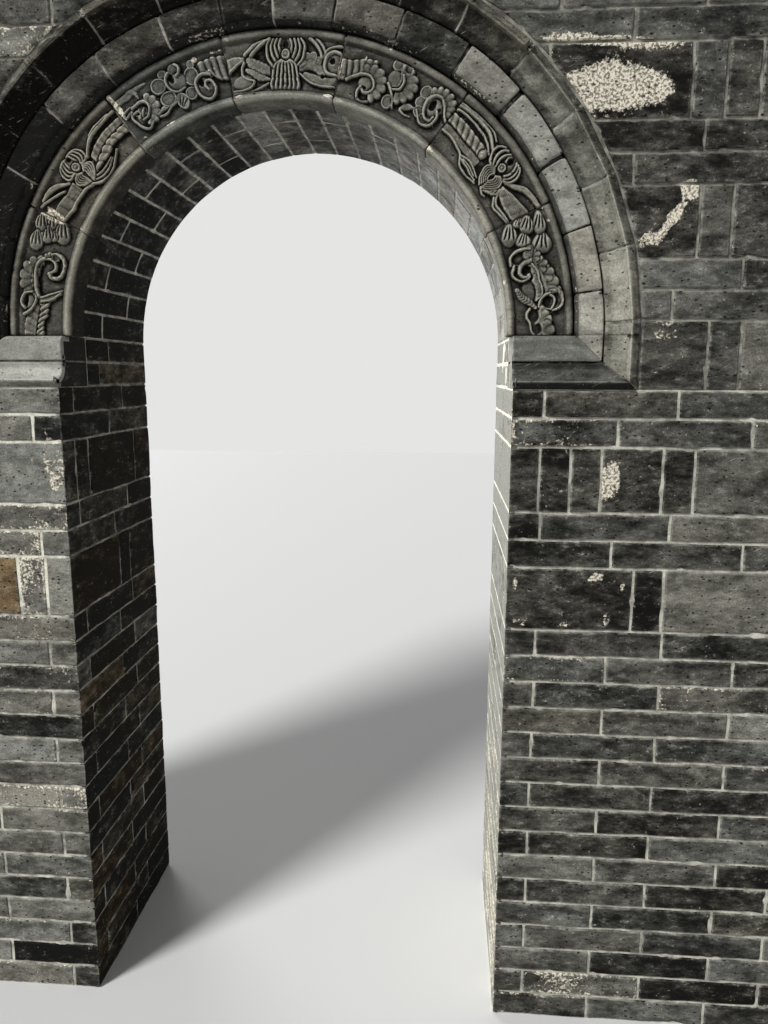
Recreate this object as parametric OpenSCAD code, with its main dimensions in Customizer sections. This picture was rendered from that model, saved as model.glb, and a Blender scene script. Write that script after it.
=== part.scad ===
// Round-headed brick gateway in a courtyard wall.
// X runs along the wall to the right, Y runs into the wall, Z is up.
// The origin is on the ground, at the middle of the doorway and of the wall's thickness.
// The carved side faces -Y.

/* [Doorway] */
// Clear width between the two piers
opening_width = 1028; // [860:1:1240]
// Height of the springing line, which is also the top of the imposts
springing_height = 1682; // [1400:1:2020]
// Thickness of the wall, front face to back face
wall_thickness = 530; // [440:1:640]
// Width of masonry on each side of the doorway
pier_width = 856; // [710:1:1030]
// Masonry left between the top of the surround and the cornice
wall_above_surround = 352; // [290:1:425]

/* [Carved frieze] */
// How far the inner bead hangs into the opening
bead_overhang = 13; // [8:1:16]
// Width of the half-round bead along the opening's edge
inner_bead_width = 19; // [15:1:23]
// Width of the carved band between the two beads
frieze_width = 108; // [90:1:130]
// Width of the half-round bead outside the carved band
outer_bead_width = 16; // [13:1:20]
// Width of the dark groove outside the outer bead
groove_width = 6; // [4:1:8]
// Depth of that groove below the carved band's ground
groove_depth = 14; // [10:1:17]
// Distance from the wall face back to the carved band's ground
ground_recess = 53; // [44:1:64]
// Distance from the wall face back to the end of the carved blocks
carved_block_back = 120; // [100:1:145]
// Number of carved blocks around the arch
carved_blocks = 7; // [5:2:9]

/* [Moulded rings] */
// Radial width of the inner ring, which has a rounded inner edge
inner_ring_width = 60; // [50:1:72]
// Radial width of the outer ring, which has a hollow and a sharp edge
outer_ring_width = 70; // [60:1:84]
// Recess of the flat between the rounded edge and the hollow
flat_recess = 25; // [20:1:30]
// Radius of the inner ring's rounded edge
edge_round = 17; // [14:1:21]
// How far the sharp edge stands proud of the wall face
edge_proud = 10; // [8:1:13]
// Width of the slope from the sharp edge back to the wall face
edge_slope_width = 20; // [16:1:25]
// Depth of the ring and impost bricks behind the wall face
moulding_depth = 150; // [130:1:180]
// Angle covered by the two bricks at the inner ring's crown, in degrees
inner_key_angle = 20.5; // [17:0.1:25]
// Angle covered by the two bricks at the outer ring's crown, in degrees
outer_key_angle = 20.7; // [17:0.1:25]

/* [Imposts] */
// Height of the upper impost course, which continues the inner ring
upper_impost_height = 58; // [48:1:70]
// Height of the lower impost course, which continues the outer ring
lower_impost_height = 58; // [48:1:70]

/* [Cornice and coping] */
// Height of one cornice course with its joint
course_height = 63; // [52:1:76]
// How far each cornice course steps out over the one below
course_step = 24; // [20:1:29]
// Rise of the slopes that the tiles are bedded on
slope_rise = 240; // [200:1:290]
// How far the tiles reach past the cornice, measured down the slope
eave_overhang = 40; // [33:1:48]
// Thickness of the bedded flat tiles, square to the slope
tile_bed = 40; // [34:1:48]
// Outer radius of the half-round cover tiles
cover_radius = 56; // [47:1:68]
// Number of rows of cover tiles on each slope
cover_rows = 13; // [11:1:15]
// Thickness of the plain ridge band
ridge_thickness = 210; // [175:1:250]
// Height of the plain ridge band above the hearting
ridge_height = 190; // [158:1:228]
// Thickness of the ridge's cap course
cap_thickness = 45; // [38:1:54]
// How far the cap course stands out on each side
cap_overhang = 22; // [18:1:27]

/* [Hidden] */
$fn = 96;
PROFILE_STEPS = 10;
CUT_MARGIN = 5;
half_opening = opening_width / 2;
half_length = half_opening + pier_width;
front_y = -wall_thickness / 2;

// Radii around the arch, from the opening outward
bead_radius = half_opening - bead_overhang;
frieze_inner = bead_radius + inner_bead_width;
frieze_outer = frieze_inner + frieze_width;
groove_inner = frieze_outer + outer_bead_width;
ring_inner = groove_inner + groove_width;
ring_joint = ring_inner + inner_ring_width;
ring_outer = ring_joint + outer_ring_width;

// Heights
mid_impost_z = springing_height - upper_impost_height;
impost_bottom_z = mid_impost_z - lower_impost_height;
wall_top = springing_height + ring_outer + wall_above_surround;
eave_z = wall_top + 3 * course_height;
slope_top_z = eave_z + slope_rise;
ridge_top_z = slope_top_z + ridge_height;

// The middle piece of wall reaches past the surround, so that it is not pinched at the springing line
over_arch_half = ring_outer + 140;

// Half width of the top cornice course, and the run of one slope above it
cornice_reach = wall_thickness / 2 + 3 * course_step;
slope_run = cornice_reach - ridge_thickness / 2;
slope_angle = atan2(slope_rise, slope_run);
slope_length = norm([slope_run, slope_rise]);

carved_angle = 180 / carved_blocks;

// Points of a quarter circle from one angle to another
function arc(centre, radius, from, to) =
    [for (i = [0:PROFILE_STEPS])
        let (a = from + (to - from) * i / PROFILE_STEPS)
        centre + radius * [cos(a), sin(a)]];

// Outlines across the mouldings: the first value is the distance outward from the ring's inner edge,
// the second is the distance in front of the wall face
function inner_ring_outline() = concat(
    arc([edge_round, -flat_recess - edge_round], edge_round, 180, 90),
    [[inner_ring_width, -flat_recess],
     [inner_ring_width, -moulding_depth],
     [0, -moulding_depth]]);

function outer_ring_outline() =
    let (arris = outer_ring_width - edge_slope_width,
         hollow = flat_recess + edge_proud)
    concat(
        [[0, -flat_recess]],
        arc([arris - hollow, edge_proud], hollow, -90, 0),
        [[outer_ring_width, 0],
         [outer_ring_width, -moulding_depth],
         [0, -moulding_depth]]);

// Carved band between its two beads; the first value is the radius
function carved_outline() =
    let (inner_r = inner_bead_width / 2,
         outer_r = outer_bead_width / 2)
    concat(
        [[bead_radius, -carved_block_back]],
        arc([bead_radius + inner_r, -ground_recess], inner_r, 180, 0),
        arc([frieze_outer + outer_r, -ground_recess], outer_r, 180, 0),
        [[groove_inner, -ground_recess - groove_depth],
         [ring_inner, -ground_recess - groove_depth],
         [ring_inner, -carved_block_back]]);

// Turns an outline of radius and forward distance around the arch's axis
module around_arch(from_angle, sweep) {
    translate([0, front_y, springing_height])
        rotate([90, 0, 0])
            rotate([0, 0, from_angle])
                rotate_extrude(angle = sweep)
                    children();
}

// Stands an outline of outward and forward distance upright, from bottom_z up to the springing line
module below_springing(bottom_z) {
    translate([0, front_y, bottom_z])
        mirror([0, 1, 0])
            linear_extrude(springing_height - bottom_z)
                children();
}

// A plate in the plane of the wall, from one depth to another behind the wall's front face
module wall_plate(from_depth, to_depth) {
    translate([0, front_y + to_depth, 0])
        rotate([90, 0, 0])
            linear_extrude(to_depth - from_depth)
                children();
}

module on_side(side) {
    if (side < 0) mirror([1, 0, 0]) children();
    else children();
}

// Face of the pocket that the right-hand imposts and ring ends fill
module impost_pocket_face() {
    translate([half_opening, impost_bottom_z])
        square([ring_outer - half_opening, springing_height - impost_bottom_z]);
}

module pier(side) {
    color("dimgray")
        on_side(side)
            difference() {
                translate([half_opening, front_y, 0])
                    cube([pier_width, wall_thickness, springing_height]);
                wall_plate(-CUT_MARGIN, moulding_depth) impost_pocket_face();
            }
}

module upper_wall(side) {
    color("dimgray")
        on_side(side)
            translate([over_arch_half, front_y, springing_height])
                cube([half_length - over_arch_half, wall_thickness, wall_top - springing_height]);
}

module wall_over_arch() {
    color("gray")
        difference() {
            translate([-over_arch_half, front_y, springing_height])
                cube([2 * over_arch_half, wall_thickness, wall_top - springing_height]);
            wall_plate(-CUT_MARGIN, moulding_depth)
                translate([0, springing_height]) circle(ring_outer);
            wall_plate(0, wall_thickness + CUT_MARGIN)
                translate([0, springing_height]) circle(ring_inner);
        }
}

module barrel_vault() {
    color("slategray")
        around_arch(0, 180)
            translate([half_opening, -wall_thickness])
                square([ring_inner - half_opening, wall_thickness - carved_block_back]);
}

// Blocks are counted from the left springing over to the right
module carved_block(index) {
    color("darkslategray")
        around_arch(180 - index * carved_angle, carved_angle)
            polygon(carved_outline());
}

// Line of a mitre, as the plate of everything above it
module above_mitre(start, finish) {
    polygon([start, finish, [finish.x, springing_height], [start.x, springing_height]]);
}

module inner_ring(side) {
    sweep = 90 - inner_key_angle / 2;
    color("gray")
        on_side(side) {
            around_arch(0, sweep)
                translate([ring_inner, 0]) polygon(inner_ring_outline());
            intersection() {
                below_springing(mid_impost_z)
                    translate([ring_inner, 0]) polygon(inner_ring_outline());
                wall_plate(-edge_proud, moulding_depth)
                    above_mitre([ring_inner, springing_height], [ring_joint, mid_impost_z]);
            }
        }
}

module inner_ring_key() {
    color("lightslategray")
        around_arch(90 - inner_key_angle / 2, inner_key_angle)
            translate([ring_inner, 0]) polygon(inner_ring_outline());
}

module outer_ring(side) {
    sweep = 90 - outer_key_angle / 2;
    color("gray")
        on_side(side) {
            around_arch(0, sweep)
                translate([ring_joint, 0]) polygon(outer_ring_outline());
            intersection() {
                below_springing(impost_bottom_z)
                    translate([ring_joint, 0]) polygon(outer_ring_outline());
                wall_plate(-edge_proud, moulding_depth)
                    above_mitre([ring_joint, mid_impost_z], [ring_outer, impost_bottom_z]);
            }
        }
}

module outer_ring_key() {
    color("lightslategray")
        around_arch(90 - outer_key_angle / 2, outer_key_angle)
            translate([ring_joint, 0]) polygon(outer_ring_outline());
}

// Runs an outline along X from the doorway's edge, turned so that outward distance becomes distance down
module along_impost(top_z, run, outline, drop) {
    translate([half_opening, front_y, top_z])
        rotate([90, 0, 90])
            linear_extrude(run)
                polygon([for (p = outline) [-p.y, -p.x * drop]]);
}

module upper_impost(side) {
    drop = upper_impost_height / inner_ring_width;
    color("lightslategray")
        on_side(side)
            intersection() {
                along_impost(springing_height, ring_joint - half_opening, inner_ring_outline(), drop);
                wall_plate(-edge_proud, moulding_depth)
                    polygon([
                        [half_opening, springing_height],
                        [ring_inner, springing_height],
                        [ring_joint, mid_impost_z],
                        [half_opening, mid_impost_z]
                    ]);
            }
}

module lower_impost(side) {
    drop = lower_impost_height / outer_ring_width;
    color("lightslategray")
        on_side(side)
            intersection() {
                along_impost(mid_impost_z, ring_outer - half_opening, outer_ring_outline(), drop);
                wall_plate(-edge_proud, moulding_depth)
                    polygon([
                        [half_opening, mid_impost_z],
                        [ring_joint, mid_impost_z],
                        [ring_outer, impost_bottom_z],
                        [half_opening, impost_bottom_z]
                    ]);
            }
}

// Cornice courses are numbered from 1 upward, and each steps out on both faces of the wall
module cornice(level) {
    reach = wall_thickness / 2 + level * course_step;
    color("darkgray")
        translate([-half_length, -reach, wall_top + (level - 1) * course_height])
            cube([2 * half_length, 2 * reach, course_height]);
}

// Runs an outline of Y and Z along the whole wall
module along_wall() {
    translate([-half_length, 0, 0])
        rotate([90, 0, 90])
            linear_extrude(2 * half_length)
                children();
}

// Hearting under the tiles, from the cornice up to the ridge
module coping_core() {
    color("tan")
        along_wall()
            polygon([
                [-cornice_reach, eave_z],
                [cornice_reach, eave_z],
                [ridge_thickness / 2, slope_top_z],
                [-ridge_thickness / 2, slope_top_z]
            ]);
}

// Section square to the slope: the bed, with the rows of cover tiles standing on it
module tile_section() {
    row_pitch = 2 * half_length / cover_rows;
    translate([-half_length, 0])
        square([2 * half_length, tile_bed]);
    intersection() {
        for (i = [0:cover_rows - 1])
            translate([-half_length + (i + 0.5) * row_pitch, tile_bed])
                circle(cover_radius);
        translate([-half_length, 0.5 * tile_bed])
            square([2 * half_length, 2 * cover_radius]);
    }
}

// The slope that faces -Y; its end is square to the slope at the eave and upright at the ridge
module tiles() {
    head = (tile_bed + cover_radius) * tan(slope_angle) + CUT_MARGIN;
    color("darkslategray")
        difference() {
            translate([0, -ridge_thickness / 2, slope_top_z])
                rotate([90 + slope_angle, 0, 0])
                    translate([0, 0, -head])
                        linear_extrude(head + slope_length + eave_overhang)
                            tile_section();
            translate([-half_length - CUT_MARGIN, -ridge_thickness / 2, slope_top_z - CUT_MARGIN])
                cube([2 * (half_length + CUT_MARGIN), 2 * head, 4 * head]);
        }
}

module front_tiles() {
    tiles();
}

module back_tiles() {
    mirror([0, 1, 0]) tiles();
}

module ridge_band() {
    color("silver")
        translate([-half_length, -ridge_thickness / 2, slope_top_z])
            cube([2 * half_length, ridge_thickness, ridge_height]);
}

module ridge_cap() {
    reach = ridge_thickness / 2 + cap_overhang;
    color("dimgray")
        translate([-half_length, -reach, ridge_top_z])
            cube([2 * half_length, 2 * reach, cap_thickness]);
}

pier(-1);  // left_pier
pier(1);  // right_pier
upper_wall(-1);  // left_upper_wall
upper_wall(1);  // right_upper_wall
wall_over_arch();
barrel_vault();
carved_block(1);  // carved_block_1
carved_block(2);  // carved_block_2
carved_block(3);  // carved_block_3
carved_block(4);  // carved_block_4
carved_block(5);  // carved_block_5
carved_block(6);  // carved_block_6
carved_block(7);  // carved_block_7
inner_ring(-1);  // inner_ring_left
inner_ring_key();
inner_ring(1);  // inner_ring_right
outer_ring(-1);  // outer_ring_left
outer_ring_key();
outer_ring(1);  // outer_ring_right
upper_impost(-1);  // upper_impost_left
upper_impost(1);  // upper_impost_right
lower_impost(-1);  // lower_impost_left
lower_impost(1);  // lower_impost_right
cornice(1);  // cornice_lower
cornice(2);  // cornice_middle
cornice(3);  // cornice_upper
coping_core();
front_tiles();
back_tiles();
ridge_band();
ridge_cap();
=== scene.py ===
"""A round-headed gateway of grey brick: moulded rings, a carved band, imposts, cornice and tiled coping."""

import math

import bpy
import numpy as np
from mathutils import Matrix, Vector


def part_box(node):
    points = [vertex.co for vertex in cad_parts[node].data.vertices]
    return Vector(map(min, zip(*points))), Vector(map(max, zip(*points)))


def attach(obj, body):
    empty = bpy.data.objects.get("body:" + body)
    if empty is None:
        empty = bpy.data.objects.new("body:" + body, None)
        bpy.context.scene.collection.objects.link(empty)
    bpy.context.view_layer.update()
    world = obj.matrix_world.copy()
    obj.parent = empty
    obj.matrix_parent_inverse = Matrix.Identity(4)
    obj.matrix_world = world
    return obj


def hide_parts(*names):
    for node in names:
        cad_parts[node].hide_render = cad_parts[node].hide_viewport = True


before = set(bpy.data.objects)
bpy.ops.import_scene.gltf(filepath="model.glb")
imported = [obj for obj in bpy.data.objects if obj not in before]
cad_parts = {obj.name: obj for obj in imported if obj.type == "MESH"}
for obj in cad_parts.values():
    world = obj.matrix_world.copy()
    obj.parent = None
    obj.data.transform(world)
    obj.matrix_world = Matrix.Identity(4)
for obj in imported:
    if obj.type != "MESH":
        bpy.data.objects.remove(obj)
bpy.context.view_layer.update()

# Sizes of the masonry, in metres
RIGHT_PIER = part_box("right_pier")
OPENING, FRONT = RIGHT_PIER[0][:2]
WALL_END, BACK, SPRING = RIGHT_PIER[1]
WALL_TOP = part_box("wall_over_arch")[1][2]
HEAD_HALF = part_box("wall_over_arch")[1][0]
OUTER_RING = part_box("outer_ring_right")[1][0]
INNER_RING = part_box("inner_ring_right")[1][0]
IMPOST_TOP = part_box("upper_impost_right")[1][2]
IMPOST_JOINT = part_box("upper_impost_right")[0][2]
IMPOST_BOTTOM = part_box("lower_impost_right")[0][2]
SURROUND = .650
OUTER_BEAD = .647
BACK_RING = .650
MOULD_BACK = .150
JOINT = .0068
STRETCHER = .280
COURSE = .063
EDGE_COURSE = .1474
FOOT_COURSE = .0637
FOOT_HEIGHT = 1.01
WAVER = .0016
FLAT_REACH = .012
WORN_REACH = .009
ARRIS = .0035
SKIRT = .012
FINE, COARSE = .012, .03
MORTAR_INSET = .0035
ARCH_TRIM = .005
ARCH_LAP = .004
# Painted shade: the turned-down sides of laid bricks, down in the joints, keep a tenth of their tone
JOINT_SIDE_SHADE = (.1, 1, .3, 0)


# Noise: smooth random values at points in space
def lattice(ix, iy, iz, seed):
    """A random value from 0 to 1 for each whole-numbered point."""
    mix = (ix * 374761393 + iy * 668265263 + iz * 1442695041 + seed * 1274126177) & 0xFFFFFFFF
    mix = ((mix ^ (mix >> 13)) * 1274126177) & 0xFFFFFFFF
    mix = mix ^ (mix >> 16)
    return (mix & 0xFFFFFF) / float(0xFFFFFF)


def noise(points, cell, seed=0):
    """Smooth noise from -1 to 1 whose lumps are about one cell wide."""
    scaled = np.asarray(points, dtype=float) / cell
    base = np.floor(scaled).astype(np.int64)
    part = scaled - base
    part = part * part * (3 - 2 * part)
    total = 0
    for dx in (0, 1):
        for dy in (0, 1):
            for dz in (0, 1):
                weight = (np.where(dx, part[..., 0], 1 - part[..., 0])
                          * np.where(dy, part[..., 1], 1 - part[..., 1])
                          * np.where(dz, part[..., 2], 1 - part[..., 2]))
                corner = lattice(base[..., 0] + dx, base[..., 1] + dy, base[..., 2] + dz, seed)
                total = total + weight * corner
    return total * 2 - 1


def smooth(value, low, high):
    """0 below low, 1 above high, and a smooth step between."""
    part = np.clip((value - low) / (high - low), 0, 1)
    return part * part * (3 - 2 * part)


def turned(x, y, degrees):
    """Two coordinates, measured along axes that are turned by an angle."""
    cos, sin = math.cos(math.radians(degrees)), math.sin(math.radians(degrees))
    return x * cos + y * sin, y * cos - x * sin


def rounding(gap, radius):
    """How far a rounded edge has dropped at this distance from it."""
    bite = np.clip(1 - gap / radius, 0, 1)
    return radius * (1 - np.sqrt(1 - bite ** 2))


# Meshes: faces are gathered in a heap and become one object
class Heap:
    """Gathers the faces of one piece, with four values of each point that its material reads."""

    def __init__(self):
        self.points = []
        self.quads = []
        self.looks = []
        self.count = 0

    def add(self, points, quads, look):
        self.points.append(points)
        self.quads.append(quads + self.count)
        self.looks.append(look)
        self.count += len(points)

    def add_sheet(self, points, quads, look, behind, free, sunk=1):
        """Adds a sheet whose border turns down to the points behind, except between free points."""
        rim = border_edges(quads, free.ravel())
        used = np.unique(rim)
        lookup = np.full(len(look), -1)
        lookup[used] = np.arange(len(used)) + len(look)
        walls = np.stack([rim[:, 1], rim[:, 0], lookup[rim[:, 0]], lookup[rim[:, 1]]], axis=1)
        self.add(np.concatenate([points.reshape(-1, 3), behind.reshape(-1, 3)[used]]),
                 np.concatenate([quads, walls]), np.concatenate([look, look[used] * sunk]))

    def make(self, name, material):
        """One smooth-shaded object from all the faces in the heap."""
        points = np.concatenate(self.points).astype(np.float32)
        quads = np.concatenate(self.quads).astype(np.int32)
        looks = np.concatenate(self.looks).astype(np.float32)
        mesh = bpy.data.meshes.new(name)
        mesh.vertices.add(len(points))
        mesh.vertices.foreach_set("co", points.ravel())
        mesh.loops.add(quads.size)
        mesh.loops.foreach_set("vertex_index", quads.ravel())
        mesh.polygons.add(len(quads))
        mesh.polygons.foreach_set("loop_start", np.arange(0, quads.size, 4, dtype=np.int32))
        mesh.polygons.foreach_set("loop_total", np.full(len(quads), 4, dtype=np.int32))
        mesh.polygons.foreach_set("use_smooth", np.ones(len(quads), dtype=bool))
        layer = mesh.attributes.new("look", "FLOAT_COLOR", "POINT")
        layer.data.foreach_set("color", looks.ravel())
        mesh.update(calc_edges=True)
        mesh.validate()
        mesh.materials.append(material)
        piece = bpy.data.objects.new(name, mesh)
        bpy.context.scene.collection.objects.link(piece)
        return piece


def grid_quads(rows, columns, flip):
    """Corner numbers of the faces of a grid of points."""
    index = np.arange(rows * columns).reshape(rows, columns)
    quads = np.stack([index[:-1, :-1], index[1:, :-1], index[1:, 1:], index[:-1, 1:]], axis=-1)
    quads = quads.reshape(-1, 4)
    return quads[:, ::-1] if flip else quads


def faces_inward(place, u, v):
    """Whether a grid over u and v, laid out by place, would face into the masonry."""
    tiny = 1e-4
    spots = place(np.array([u, u + tiny, u, u]), np.array([v, v, v + tiny, v]), np.array([0, 0, 0, tiny]))
    along, up, out = spots[1] - spots[0], spots[2] - spots[0], spots[3] - spots[0]
    return float(np.dot(np.cross(along, up), out)) < 0


def border_edges(quads, free):
    """The border edges of a set of faces, leaving out those between points marked as free."""
    edges = np.concatenate([quads[:, [0, 1]], quads[:, [1, 2]], quads[:, [2, 3]], quads[:, [3, 0]]])
    edges = edges[edges[:, 0] != edges[:, 1]]
    keys = np.sort(edges, axis=1)
    _, first, times = np.unique(keys[:, 0] * 1000003 + keys[:, 1], return_index=True, return_counts=True)
    rim = edges[first[times == 1]]
    return rim[~(free[rim[:, 0]] & free[rim[:, 1]])]


def outside_faces(gap):
    """Which faces of a grid have a corner outside the curve that trims it."""
    inside = gap <= 1e-6
    return ~(inside[:-1, :-1] & inside[1:, :-1] & inside[1:, 1:] & inside[:-1, 1:]).ravel()


def plain_look(count, look):
    """The same tone, warmth and lime at every point, and no wear."""
    colour = np.zeros((count, 4))
    colour[:, :3] = look
    return colour


def long_sides_free(shape):
    """Marks the first and last column of a grid, where a moulding's section ends."""
    free = np.zeros(shape, dtype=bool)
    free[:, [0, -1]] = True
    return free


# Old lime in known places on the carved side: middle x and z, half width and height, tilt in degrees, amount
SPLASHES = ((.705, 2.175, .116, .049, -2, .98), (.70, 2.260, .15, .010, -4, .9),
            (.866, 1.972, .020, .022, 30, .95), (.830, 1.915, .066, .011, 56, .95),
            (.782, 1.878, .014, .026, -20, .85), (.800, 1.935, .012, .008, 50, .7),
            (.734, 1.368, .022, .048, -8, .80), (.714, 1.147, .016, .012, 20, .95),
            (.775, 1.126, .012, .010, 0, .85), (.531, 1.129, .008, .024, 0, .90),
            (.548, 1.039, .022, .012, 0, .75), (.648, 1.035, .012, .009, 0, .85),
            (.742, 1.047, .010, .020, 0, .75), (.724, 1.262, .022, .018, 0, .5),
            (.717, 1.197, .012, .018, 0, .5), (.831, 1.692, .040, .030, 0, .55),
            (.60, 1.905, .03, .012, 30, .5), (-.541, 1.405, .026, .075, 6, .64),
            (-.538, 1.345, .018, .022, 0, .74), (-.60, 2.285, .09, .012, 0, .5))


def splashed(points):
    """How much lime the known places leave at points on the carved side."""
    total = np.zeros(len(points))
    for x, z, wide, tall, tilt, amount in SPLASHES:
        along, up = turned(points[:, 0] - x, points[:, 2] - z, tilt)
        total = np.maximum(total, amount * smooth(1.3 - np.hypot(along / wide, up / tall), 0, .5))
    return total * (np.abs(points[:, 1] - FRONT) < .02)


# Laid bricks: each visible face is a worn sheet with turned-down edges
def grid_lines(low, high, step, arris, low_shared, high_shared):
    """Grid lines across a brick face, close together at its edges."""
    near, far = ([.29 * arris if shared else 0, arris * .55, arris * 1.1, arris * 2.4]
                 for shared in (low_shared, high_shared))
    inner_low, inner_high = low + near[-1], high - far[-1]
    if inner_high - inner_low < .004:
        return np.array([low + near[0], low + near[1], (low + high) / 2, high - far[1], high - far[0]])
    count = max(1, int(round((inner_high - inner_low) / step)))
    middle = np.linspace(inner_low, inner_high, count + 1)
    return np.concatenate([[low + n for n in near[:-1]], middle, [high - f for f in far[-2::-1]]])


def lay_brick(heap, place, low, high, look, shared="", cut=None, step=FINE, arris=ARRIS, skirt=.013,
              rough=1.0):
    """One brick face between two corners; place turns along, up and out into metres.

    shared names the sides (l, r, b, t) where the brick turns a corner; cut trims it to a curve."""
    us = grid_lines(low[0], high[0], step, arris, "l" in shared, "r" in shared)
    vs = grid_lines(low[1], high[1], step, arris, "b" in shared, "t" in shared)
    u, v = np.meshgrid(us, vs, indexing="ij")
    sides = [(u - low[0], low[0] + 0 * u, v), (high[0] - u, high[0] + 0 * u, v),
             (v - low[1], u, low[1] + 0 * v), (high[1] - v, u, high[1] + 0 * v)]
    keep = np.ones((len(us) - 1) * (len(vs) - 1), dtype=bool)
    if cut is not None:
        u, v, gap = cut(u, v)
        keep = outside_faces(gap)
        if not keep.any():
            return
        sides.append((np.maximum(gap, 0), u, v))
    flat = place(u, v, 0 * u)
    wear = np.zeros_like(u)
    nearest = np.full(u.shape, 1.0)
    for gap, edge_u, edge_v in sides:
        chip = smooth(noise(place(edge_u, edge_v, 0 * u), .021, 5), .25, .95)
        wear = np.hypot(wear, rounding(gap, arris * (.75 + 3.0 * rough * chip)))
        nearest = np.minimum(nearest, gap)
    hold = np.clip(nearest / FLAT_REACH, 0, 1)
    seed = int(abs(low[0]) * 7919 + abs(low[1]) * 104729) % 9973
    lift = hold * rough * (.0011 * noise(flat, .085, seed) + .0005 * noise(flat, .02, 3)) - wear
    wobble = np.stack([noise(flat, .05, 11), .5 * noise(flat, .06, 12), noise(flat, .05, 13)], axis=-1)
    wobble = wobble * WAVER * rough
    points = place(u, v, lift) + wobble
    rows, columns = u.shape
    flip = faces_inward(place, float(u[rows // 2, columns // 2]), float(v[rows // 2, columns // 2]))
    colour = plain_look(u.size, look)
    colour[:, 2] = np.maximum(colour[:, 2], splashed(points.reshape(-1, 3)))
    colour[:, 3] = 1 - np.clip(nearest / WORN_REACH, 0, 1).ravel()
    free = np.zeros(u.shape, dtype=bool)
    for side, where in (("l", np.s_[0, :]), ("r", np.s_[-1, :]), ("b", np.s_[:, 0]), ("t", np.s_[:, -1])):
        free[where] |= side in shared
    heap.add_sheet(points, grid_quads(rows, columns, flip)[keep], colour,
                   place(u, v, 0 * u - skirt) + wobble, free, JOINT_SIDE_SHADE)


def lay_mortar(heap, place, low, high, recess=.0050, step=.02, cut=None, lime=.7, white=.5, rough=1.0):
    """The bedding behind a stretch of bricks, a little below their faces and uneven."""
    us = np.linspace(low[0], high[0], max(2, int((high[0] - low[0]) / step) + 1))
    vs = np.linspace(low[1], high[1], max(2, int((high[1] - low[1]) / step) + 1))
    u, v = np.meshgrid(us, vs, indexing="ij")
    quads = grid_quads(*u.shape, faces_inward(place, float(us[0]), float(vs[0])))
    if cut is not None:
        u, v, gap = cut(u, v)
        quads = quads[outside_faces(gap)]
    flat = place(u, v, 0 * u)
    hold = np.clip(np.minimum.reduce([u - low[0], high[0] - u, v - low[1], high[1] - v]) / .02, 0, 1)
    bumps = .0012 * noise(flat, .03, 21) + .0008 * noise(flat, .11, 22)
    points = place(u, v, -recess + rough * hold * bumps)
    heap.add(points.reshape(-1, 3), quads, plain_look(u.size, (white, 0, lime)))


# Ways of laying faces: each turns distances along and up a face, and out of it, into metres
def facing(axis, level, way):
    """A flat face: axis (0, 1 or 2) is the one that it looks along, and way says to which side."""
    def place(u, v, out):
        spots = [u, v]
        spots.insert(axis, level + way * out)
        return np.stack(spots, axis=-1)
    return place


def four_sides(low, high):
    """Front, back, left and right side of a box, and where each starts and stops along."""
    return ((facing(1, low[1], -1), low[0], high[0]), (facing(1, high[1], 1), low[0], high[0]),
            (facing(0, low[0], -1), low[1], high[1]), (facing(0, high[0], 1), low[1], high[1]))


ON_FRONT = facing(1, FRONT, -1)
ON_BACK = facing(1, BACK, 1)
REVEALS = {-1: facing(0, -OPENING, 1), 1: facing(0, OPENING, -1)}
WALL_ENDS = {-1: facing(0, -WALL_END, -1), 1: facing(0, WALL_END, 1)}
SIDES = ((-1, "left"), (1, "right"))


def around(radius):
    """The arch's underside: along is the arc's length from the left springing, up is the depth."""
    def place(u, v, out):
        angle = u / radius
        return np.stack([-(radius - out) * np.cos(angle), v, SPRING + (radius - out) * np.sin(angle)],
                        axis=-1)
    return place


def ring_ends(middle):
    """The vault's end on the back face: along is the arc's length at its middle, up is the radius."""
    def place(u, v, out):
        angle = u / middle
        return np.stack([-v * np.cos(angle), BACK + out, SPRING + v * np.sin(angle)], axis=-1)
    return place


# How far the arch has settled outward, in metres, at angles in degrees from the left springing
SETTLED_AT = (0, 20, 40, 52, 62, 75, 90, 108, 120, 130, 140, 150, 165, 180)
SETTLED_BY = (0, .004, .007, .005, .002, -.002, -.001, .002, .007, .009, .007, .003, 0, 0)
BAND_SETTLED_AT = (0, 13, 38, 64, 90, 116, 141, 167, 180)
BAND_SETTLED_BY = (0, 0, -.003, -.0075, -.0075, -.0035, .003, .0015, 0)


def settled(angle, radius):
    """How far a point of the surround has moved outward: rings and carved band each at their own rate."""
    rings = np.interp(np.degrees(angle), SETTLED_AT, SETTLED_BY)
    inside = np.interp(np.degrees(angle), BAND_SETTLED_AT, BAND_SETTLED_BY)
    share = np.interp(radius, [OUTER_BEAD, INNER_RING], [0, 1])
    band_share = np.interp(radius, [BEAD_EDGE, BAND_INNER, OUTER_BEAD], [0, .3, 1])
    return rings * share + inside * (1 - share) * band_share


def outside_arch(radius, moved=1):
    """Trims a face to the outside of the arch, at this radius above the springing."""
    def cut(u, v):
        rise = v - SPRING
        above = rise > 0
        reach = np.where(above, np.hypot(u, rise), np.abs(u))
        limit = radius + moved * settled(np.arctan2(np.maximum(rise, 0), -u), radius)
        pull = np.where(reach < limit, limit / np.maximum(reach, 1e-4), 1)
        return u * pull, SPRING + rise * np.where(above, pull, 1), reach - limit
    return cut


# Courses: which rows there are, and how each is filled
def course_rows():
    """Bottom, top and kind (flat or edge) of every row of bricks."""
    rows = []
    level = 0
    for kind in "f" * 16 + "eff" * 6 + "e":
        flat = FOOT_COURSE if level < FOOT_HEIGHT else COURSE
        height = flat if kind == "f" else EDGE_COURSE
        rows.append((level, level + height, kind))
        level += height
    last = rows.pop()
    rows.append((last[0], WALL_TOP, "e"))
    return rows


BRICK_LENGTHS = {"c": .066, "q": .228, "s": STRETCHER, "m": .261, "r": .061, "h": .126, "b": STRETCHER}


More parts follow.
